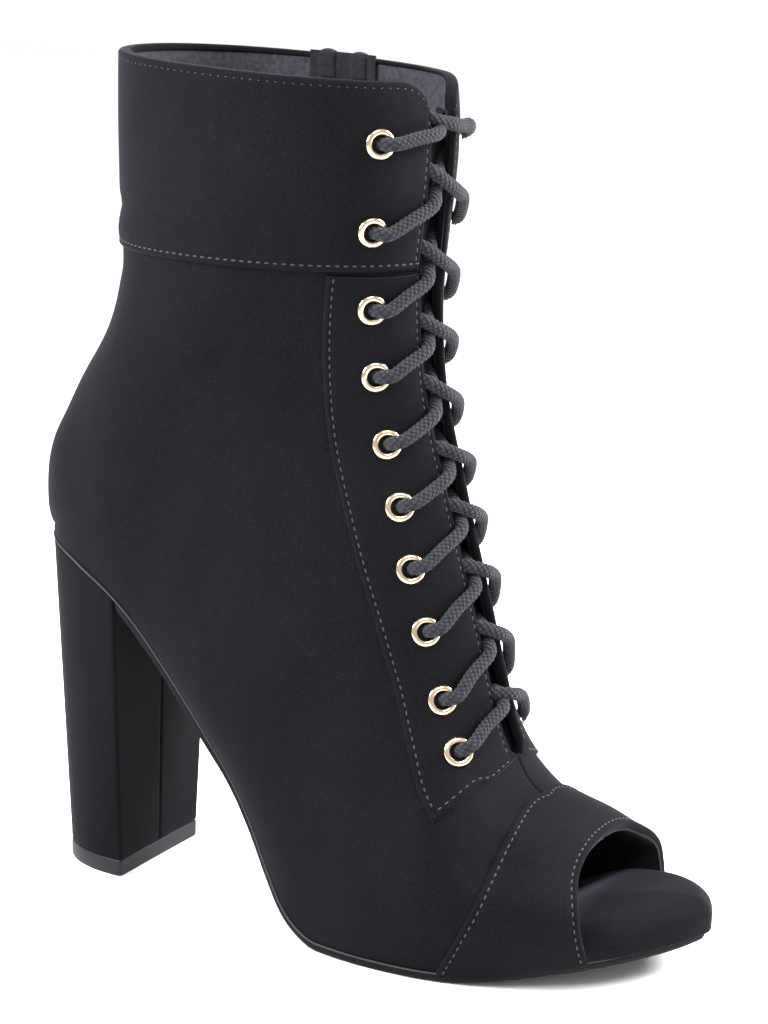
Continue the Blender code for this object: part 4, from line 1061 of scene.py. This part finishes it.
# Insole: thin where the upper hides it, and thick and wrapped at the open toe.
def makeInsole():
    outline = soleOutline(soleBack, insole["inset"], 420, False)
    x = outline[:, 0]
    spine = middleLine(x)
    inward = inwardNormals(outline)
    outline = outline - inward * (insole["longer"] * smoothStep(x, *insole["tip"]))[:, None]
    front = smoothStep(x, *insole["front"])
    thick = insole["thin"] + insole["rise"] * front
    radius = insole["edge"] + insole["wrap"] * front
    rings = []
    for a in np.linspace(0.0, np.pi / 2, 6):
        ring = outline + inward * (insole["foot"] * (1 - np.sin(a)))
        rings.append(aboveSole(ring, insole["base"] + insole["foot"] * (1 - np.cos(a))))
    for a in np.linspace(0.0, np.pi / 2, 8):
        ring = outline + inward * (radius * (1 - np.cos(a)))[:, None]
        rings.append(aboveSole(ring, insole["base"] + thick - radius * (1 - np.sin(a))))
    top = rings[-1][:, :2]
    for share in (0.25, 0.6, 1.0):
        flat = top + (spine - top) * share
        lift = insole["thin"] + insole["rise"] * smoothStep(flat[:, 0], *insole["front"])
        rings.append(aboveSole(flat, insole["base"] + lift + insole["crown"] * share * front))
    bottom = rings[0][:, :2]
    for share in (0.4, 1.0):
        rings.insert(0, aboveSole(bottom + (spine - bottom) * share, insole["base"]))
    settle(makeRings("insoleBoard", rings, finish["insole"], merge=0.01), "insole_cover", "insole")


makeInsole()

featherLine = {"inset": 0.5, "lift": 2.62, "radius": 0.3}


# A thin bead all round, where the upper meets the sole and the heel. Its finish, lighter than the suede, is
# a painted highlight along that seam.
def makeFeatherLine():
    line = aboveSole(soleOutline(soleBack, featherLine["inset"], 700, False), featherLine["lift"])
    tangent = unit(np.roll(line, -1, axis=0) - np.roll(line, 1, axis=0))
    side = unit(np.cross(tangent, (0.0, 0.0, 1.0)))
    turn = np.linspace(0.0, 2 * np.pi, 8, endpoint=False)
    ring = line[:, None] + featherLine["radius"] * ringRound(turn, side, np.cross(side, tangent))
    ring = np.concatenate([ring, ring[:1]])
    settle(makeRings("featherLine", ring, finish["edge"], sharp=1.5), "suede")


makeFeatherLine()

heel = {"width": 43.0, "depth": 27.2, "tip": 5.0, "gap": 0.3, "seat": 2.15, "corner": 1.1, "power": 0.9}


# The heel's half-round outline at its foot.
def heelFoot(turn):
    x = last["breast"] - heel["depth"] * np.cos(turn) ** heel["power"]
    y = heel["width"] / 2 * np.sign(np.sin(turn)) * np.abs(np.sin(turn)) ** heel["power"]
    return np.column_stack([x, y])


# The seat's outline from one breast corner round the back to the other.
def heelSeat(count):
    seat = soleLine[soleLine[:, 0] <= last["breast"]]
    lateral = np.column_stack([seat[::-1, 0], -seat[::-1, 1]])
    loop = np.vstack([lateral, np.column_stack([seat[1:, 0], seat[1:, 2]])])
    run = pathRun(loop)
    even = np.linspace(-1.0, 1.0, count)
    ring = readPath((0.18 * np.sin(even * np.pi / 2) + 0.82 * even + 1) / 2 * run[-1], run, loop)
    ring[[0, -1], 0] = last["breast"]
    return ring - unit(ring - (last["breast"], 0.0)) * last["inset"] / 2


# Closes an outline across the breast and rounds its two corners.
def breastRing(ring, radius, count=400):
    across = np.linspace(ring[-1, 1], ring[0, 1], 16)[1:-1]
    face = np.column_stack([np.full(14, last["breast"]), across])
    return evenLoop(np.vstack([ring, face]), count, int(radius * 12))


# An outline drawn in towards its middle by a distance.
def drawnIn(ring, inset):
    return ring - unit(ring - ring.mean(0)) * inset


# A small copy of an outline at its middle, where a flat end closes.
def endRing(ring):
    return ring * 0.05 + ring.mean(0) * 0.95


# The cover's rings from the tip up: share of the height, and inset.
coverRings = ((0.0, 0.35), (0.003, 0.1), (0.008, 0.0), *((s, 0.0) for s in np.linspace(0.05, 0.985, 24)),
              (0.995, 0.0), (1.0, 0.3))
# The tip's rings from the floor up: inset and height.
tipRings = ((0.5, 0.0), (0.15, 0.12), (0.0, 0.45), (0.0, 2.5), (0.0, 4.6), (0.1, 4.85), (0.3, heel["tip"]))


# The covered block with a seam down its flat front, and the hard tip under it.
def makeHeel():
    low = breastRing(heelFoot(np.linspace(-np.pi / 2, np.pi / 2, 121)), heel["corner"])
    high = breastRing(heelSeat(121), heel["corner"])
    base = heel["tip"] + heel["gap"]
    rings = [np.column_stack([endRing(low), np.full(len(low), base)])]
    for share, inset in coverRings:
        ring = drawnIn(low + (high - low) * share, inset)
        front = ring[:, 0] > last["breast"] - 0.6
        ring[:, 0] -= seam["deep"] * np.exp(-(ring[:, 1] / seam["wide"]) ** 2) * front
        top = levelAt(ring[:, 0], heel["seat"])
        rings.append(np.column_stack([ring, base + (top - base) * share]))
    rings.append(aboveSole(endRing(high), heel["seat"]))
    cover = makeRings("heelCover", rings, finish["heelCover"])
    fillEnds(cover)
    settle(cover, "suede", "heel_block")
    flat = [(endRing(low), 0.0), *((drawnIn(low, inset), z) for inset, z in tipRings)]
    flat.append((endRing(low), heel["tip"]))
    tip = makeRings("heelTip", [np.column_stack([ring, np.full(len(ring), z)]) for ring, z in flat],
                    finish["tip"])
    fillEnds(tip)
    settle(tip, "heel_tip", "top_piece")


makeHeel()
print("sole, insole and heel made")


eyeletShape = {"hole": 2.2, "rim": 4.2, "seat": 0.9, "rise": 1.0, "barrel": 2.75, "back": -1.9,
               "lip": 0.25, "step": 0.12}


# Seat and outward direction of each eyelet, on the plane that its flange bears on.
def eyeletFrames():
    frames = {}
    rim = eyeletShape["rim"]
    for number, (u, d) in enumerate(eyeletRows, start=1):
        for side, label in ((-1, "lateral"), (1, "medial")):
            pitch = np.linalg.norm(surface(u + 0.5, d, side)[0] - surface(u, d, side)[0])
            reach = 0.5 * rim / pitch
            place = surface(u, d, side)[0]
            around = [surface(u, d + turn * rim, side)[0] for turn in (-1, 1)]
            along = [surface(u + turn * reach, d, side)[0] for turn in (-1, 1)]
            normal = unit(np.cross(around[1] - around[0], along[1] - along[0]) * side)
            rise = max(0.0, *(float(np.dot(p - place, normal)) for p in around + along))
            climb = along[1] - along[0]
            climb = unit(climb - normal * np.dot(climb, normal))
            inward = np.cross(normal, climb) * side
            frames[(label, number)] = (place + normal * rise, normal, climb, inward)
    return frames


eyelets = eyeletFrames()


# A turned ring: a barrel with a rolled flange over it.
def makeEyelets():
    hole, rim, seat, rise, barrel, back, lip, step = eyeletShape.values()
    middle = (hole + rim) / 2
    profile = [(hole, back), (barrel, back), (barrel, seat), (rim - lip, seat)]
    profile += [(middle + (rim - middle) * np.cos(a), seat + step + rise * np.sin(a) ** 0.8)
                for a in np.linspace(0.0, np.pi, 9)]
    profile = np.array(profile)
    turn = np.linspace(0.0, 2 * np.pi, 40, endpoint=False)
    ring = np.stack([profile[:, :1] * np.cos(turn), profile[:, :1] * np.sin(turn),
                     np.broadcast_to(profile[:, 1:], (len(profile), len(turn)))], axis=-1)
    quads = gridQuads(len(profile) + 1, len(turn), True)
    quads = quads % (len(profile) * len(turn))
    for (label, number), (place, normal, climb, inward) in eyelets.items():
        points = place + ring[..., :1] * climb + ring[..., 1:2] * inward + ring[..., 2:] * normal
        made = makePiece(f"eyelet{label.title()}{number:02d}", points, quads, finish["gold"], sharp=1.2)
        settle(made, "eyelet_gold", f"eyelet_{label}_{number:02d}")


makeEyelets()
print("eyelets made")

lace = {"radius": 1.85, "plait": 1.5, "turns": 6, "sides": 24, "step": 0.36, "hollow": 0.16, "swell": 0.26,
        "hold": 3.1, "topStep": 1.5}


# A round braided cord along a path: its radius swells with each crossing strand.
def cordMesh(path):
    dense = smoothRows(path, np.linspace(0.0, len(path) - 1.0, 400))
    run = pathRun(dense)
    at = np.linspace(0.0, run[-1], int(run[-1] / lace["step"]))
    line = readPath(at, run, dense)
    tangent = unit(np.gradient(line, axis=0))
    side = unit(np.cross(tangent, (0.15, 0.02, 1.0)))
    turn = np.linspace(0.0, 2 * np.pi, lace["sides"], endpoint=False)
    along = at[:, None] / lace["plait"]
    around = turn[None, :] / (2 * np.pi)
    strands = (np.abs(np.sin(np.pi * (along + lace["turns"] * around)))
               * np.abs(np.sin(np.pi * (along - lace["turns"] * around))))
    radius = lace["radius"] - lace["hollow"] + lace["swell"] * strands
    points = line[:, None] + radius[..., None] * ringRound(turn, side, np.cross(side, tangent))
    uv = np.stack(np.broadcast_arrays(along, around), axis=-1)
    return points.reshape(-1, 3), gridQuads(len(at), lace["sides"], True), uv.reshape(-1, 2)


# How far each pair climbs by the opposite edge, as a share of the step to the next pair.
laceClimb = (0.55, 0.60, 0.60, 0.62, 0.72, 0.70, 0.70, 0.60, 0.58, 0.45)


# Each run leaves its eyelet, crosses its own facing and its edge, climbs over the tongue
# and goes in under the opposite facing. The medial run lies over the lateral one.
def laceRun(number, side):
    u, d = eyeletRows[number - 1]
    label = "lateral" if side < 0 else "medial"
    place, normal, climb, inward = eyelets[(label, number)]
    top = number == 1
    step = lace["topStep"] if top else eyeletRows[number - 2][0] - u
    climbed = laceClimb[number - 1] * step
    edge = float(halfGap(u))
    hold = lace["hold"]
    route = [place - normal * 4.0, place - normal * 1.2 + inward * 0.3]
    if side < 0:
        route += [place + normal * 1.8 + inward * 1.2,
                  place + normal * hold + inward * 4.2 + climb * 0.2]
        stops = [(u + 0.10 * climbed, edge + (d - edge) * 0.42, hold, side),
                 (u + 0.30 * climbed, edge + 0.6, hold - 0.1, side),
                 (u + 0.54 * climbed, edge * 0.35, 0.0, side),
                 (u + 0.76 * climbed, edge * 0.5, -1.9, -side)]
        if not top:
            stops += [(u + 1.0 * climbed, edge + 1.0, -3.3, -side),
                      (u + 1.25 * climbed, edge + 7.0, -4.0, -side)]
    else:
        route += [place + normal * 1.9 + inward * 1.0,
                  place + normal * (hold + 0.5) + inward * 3.6 + climb * 1.4]
        stops = [(u + 0.34 * climbed, edge + (d - edge) * 0.36, hold + 0.4, side),
                 (u + 0.50 * climbed, edge * 0.9, hold + 0.2, side),
                 (u + 0.70 * climbed, 0.4, hold - 0.1, -side),
                 (u + 0.96 * climbed, edge * 0.8, 0.9, -side),
                 (u + 1.12 * climbed, edge + 1.8, -3.0, -side),
                 (u + 1.30 * climbed, edge + 7.5, -3.9, -side)]
    for station, distance, lift, where in stops:
        point, facing = surface(station, distance, where)
        route.append(point + facing * lift)
    return np.array(route)


def makeLace():
    points, quads, uvs = [], [], []
    base = 0
    for number in range(1, 11):
        for side in (-1, 1):
            part, faces, uv = cordMesh(laceRun(number, side))
            points.append(part)
            quads.append(faces + base)
            uvs.append(uv)
            base += len(part)
    made = makePiece("laceBraid", np.concatenate(points), np.concatenate(quads), finish["lace"],
                     uv=np.concatenate(uvs), merge=None, sharp=1.5)
    fillEnds(made)
    settle(made, "lace_braid", *(f"lace_crossing_{n:02d}" for n in range(1, 11)))


makeLace()
print("lace threaded")


# A coil turn's five rings: reach across the chain, half thickness, and lift off the last.
coil = np.array(((-0.45, 0.30, -0.9), (0.2, 0.42, -0.75), (1.0, 0.40, -0.75), (1.7, 0.40, -0.85),
                 (2.15, 0.28, -1.3)))
zipTape = {"ends": (0.25, 0.15), "top": 20.2, "outer": -2.35, "inner": -2.95}


# Zip: a tape behind the slot, and two rows of coil turns that reach over its middle.
def makeZip():
    foot = zipper["foot"] + zipTape["ends"][0]
    u = foot + (topStation - zipTape["ends"][1] - foot) * np.linspace(0.0, 1.0, 90)
    across = np.linspace(-1.0, 1.0, 13)
    turn = zipper["share"] + across[None, :] * zipper["tape"] / lengthOf(u, 1, "girth")[:, None]
    grid = np.broadcast_to(u[:, None], turn.shape)
    points, normals = surfaceShare(grid, turn)
    points[..., 2] += zipper["rise"] * np.clip((grid - zipTape["top"]) / 0.65, 0.0, 1.0) ** 2
    tape = closedSheet("zipTape", lifted(points, normals, zipTape["outer"]),
                       lifted(points, normals, zipTape["inner"]), finish["tape"])
    settle(tape, "zip_tape", "zip_chain")
    line, facing = surfaceShare(np.linspace(u[0], u[-1], 600), zipper["share"])
    line = line + facing * creaseLift(line)[:, None]
    run = pathRun(line)
    at = np.arange(1.0, run[-1] - 0.5, zipper["pitch"] / 2)
    spot = readPath(at, run, line)
    normal = unit(readPath(at, run, facing))
    ahead = unit(np.gradient(spot, axis=0))
    sideways = np.cross(ahead, normal) * np.where(np.arange(len(at)) % 2, 1.0, -1.0)[:, None]
    around = np.linspace(0.0, 2 * np.pi, 6, endpoint=False)
    reach, thick, lift = (coil[:, k, None] for k in range(3))
    core = spot[:, None] + sideways[:, None] * reach + normal[:, None] * lift
    turns = core[:, :, None] + thick[:, None] * ringRound(around, ahead, normal)[:, None]
    made = makePiece("zipCoil", turns, copyQuads(len(coil), len(around), len(at)), finish["coil"],
                     merge=None, sharp=1.5)
    fillEnds(made, True)
    settle(made, "zip_tape")


makeZip()
tapeEnd = {"wide": 6.4, "low": 20.5, "rise": 1.5, "thick": 1.7, "lift": -1.9, "round": 1.6}


# A folded tape end: a soft pad that hangs over the rim beside the zip.
def makeTapeEnd(name, start, wide):
    steps = edgeSteps(tapeEnd["wide"], 0.5, (0.15, 0.4, 0.8, 1.3))
    turn = start + wide / float(lengthOf(topStation, 1)) * steps
    climb = edgeSteps(12.0, 0.7, (0.15, 0.4, 0.8, 1.3))[:, None]
    u = tapeEnd["low"] + (topStation - tapeEnd["low"]) * climb
    grid = np.broadcast_to(u, (len(u), len(turn)))
    points, normals = surfaceShare(grid, np.broadcast_to(turn, grid.shape))
    bow = np.sin(np.pi * steps)[None, :] ** 0.5
    points[..., 2] += tapeEnd["rise"] * bow * climb ** 2
    bulge = tapeEnd["thick"] * edgeRound(points, tapeEnd["round"])
    made = closedSheet(name, lifted(points, normals, tapeEnd["lift"] + bulge),
                       lifted(points, normals, tapeEnd["lift"] - bulge), finish["tape"])
    settle(made, "zip_tape")


makeTapeEnd("tapeEndFront", 0.5 - slotShare * 0.8, -tapeEnd["wide"])
makeTapeEnd("tapeEndBack", 0.5 + slotShare * 0.8, tapeEnd["wide"])


# A softened copy of a solid node: its doubles merged and its edges rounded.
def softenNode(name, node, width, material, slotName, body):
    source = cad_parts[node]
    mesh = source.data.copy()
    mesh.name = name
    work = bmesh.new()
    work.from_mesh(mesh)
    bmesh.ops.remove_doubles(work, verts=work.verts, dist=0.003 * mm)
    bmesh.ops.dissolve_limit(work, angle_limit=0.05, verts=work.verts, edges=work.edges)
    sharp = [e for e in work.edges if e.is_manifold and e.calc_face_angle(0.0) > 0.6]
    bmesh.ops.bevel(work, geom=sharp, offset=width * mm, segments=3, profile=0.6, affect="EDGES",
                    clamp_overlap=True)
    work.to_mesh(mesh)
    work.free()
    mesh.materials.clear()
    mesh.materials.append(material)
    mesh.shade_smooth()
    mesh.set_sharp_from_angle(angle=0.7)
    settle(addObject(name, mesh), slotName, node, body=body)


softenNode("zipSlider", "zip_slider", 0.28, finish["metal"], "zip_metal", "boot")
softenNode("zipPull", "zip_pull", 0.4, finish["metal"], "zip_metal", "pull_tab")
print("zip made")

stitch = {"pitch": 2.35, "length": 1.55, "wide": 0.27, "tall": 0.24, "dip": 0.28}


# Every noted path becomes a row of short threads that dip at both ends.
def makeStitches():
    points, quads = [], []
    base = 0
    around = np.linspace(0.0, 2 * np.pi, 6, endpoint=False)
    steps = np.linspace(-1.0, 1.0, 7)[:, None]
    body = np.sqrt(np.clip(1 - (np.abs(steps) * 0.96) ** 3, 0.03, 1.0))
    for path, normals in stitchPaths:
        run = pathRun(path)
        if run[-1] < 2 * stitch["pitch"]:
            continue
        count = int(run[-1] / stitch["pitch"])
        at = (np.arange(count) + 0.5) * run[-1] / count
        middle = readPath(at, run, path)
        ahead = unit(readPath(at + 1.0, run, path) - readPath(at - 1.0, run, path))
        up = readPath(at, run, normals)
        up = unit(up - ahead * np.sum(up * ahead, axis=1)[:, None])
        across = np.cross(ahead, up)
        core = (middle[:, None] + ahead[:, None] * steps * stitch["length"] / 2
                - up[:, None] * stitch["dip"] * steps ** 4)
        ring = ringRound(around, across * stitch["wide"], up * stitch["tall"])
        points.append((core[:, :, None] + body[:, None] * ring[:, None]).reshape(-1, 3))
        quads.append(copyQuads(len(steps), len(around), count) + base)
        base += len(points[-1])
    made = makePiece("stitching", np.concatenate(points), np.concatenate(quads), finish["thread"],
                     merge=None, sharp=1.5)
    fillEnds(made, True)
    settle(made, "lace_braid")


makeStitches()
print("stitches sewn")

studio = {"floor": (0.97, 0.97, 0.97), "half": 3.0, "world": 1.0}
# Name, place, aim, width and power of each light.
lights = (("left softbox", (-0.25, -0.34, 0.46), (0.02, 0.0, 0.23), 0.25, 8.0),
          ("front softbox", (0.60, -0.55, 1.15), (0.10, 0.0, 0.12), 0.6, 10.0),
          ("back softbox", (0.75, 0.50, 0.70), (0.12, 0.0, 0.06), 0.5, 36.0))


def makeStudio():
    mesh = bpy.data.meshes.new("floor")
    size = studio["half"]
    corners = [(-size, -size, 0), (size, -size, 0), (size, size, 0), (-size, size, 0)]
    mesh.from_pydata(corners, [], [(0, 1, 2, 3)])
    floor = addObject("floor", mesh)
    made, shader = newMaterial("pale floor", 0.9, specular=0.1)
    shader.inputs["Base Color"].default_value = (*studio["floor"], 1.0)
    mesh.materials.append(made)
    world = bpy.data.worlds.new("studio")
    world.use_nodes = True
    background = world.node_tree.nodes["Background"]
    background.inputs["Color"].default_value = (1.0, 1.0, 1.0, 1.0)
    background.inputs["Strength"].default_value = studio["world"]
    bpy.context.scene.world = world
    bpy.context.scene.view_settings.view_transform = "Standard"
    for name, place, aim, wide, power in lights:
        data = bpy.data.lights.new(name, "AREA")
        data.size = wide
        data.energy = power
        light = addObject(name, data)
        light.location = place
        light.rotation_euler = (Vector(place) - Vector(aim)).to_track_quat("Z", "Y").to_euler()


makeStudio()
print("studio lit")
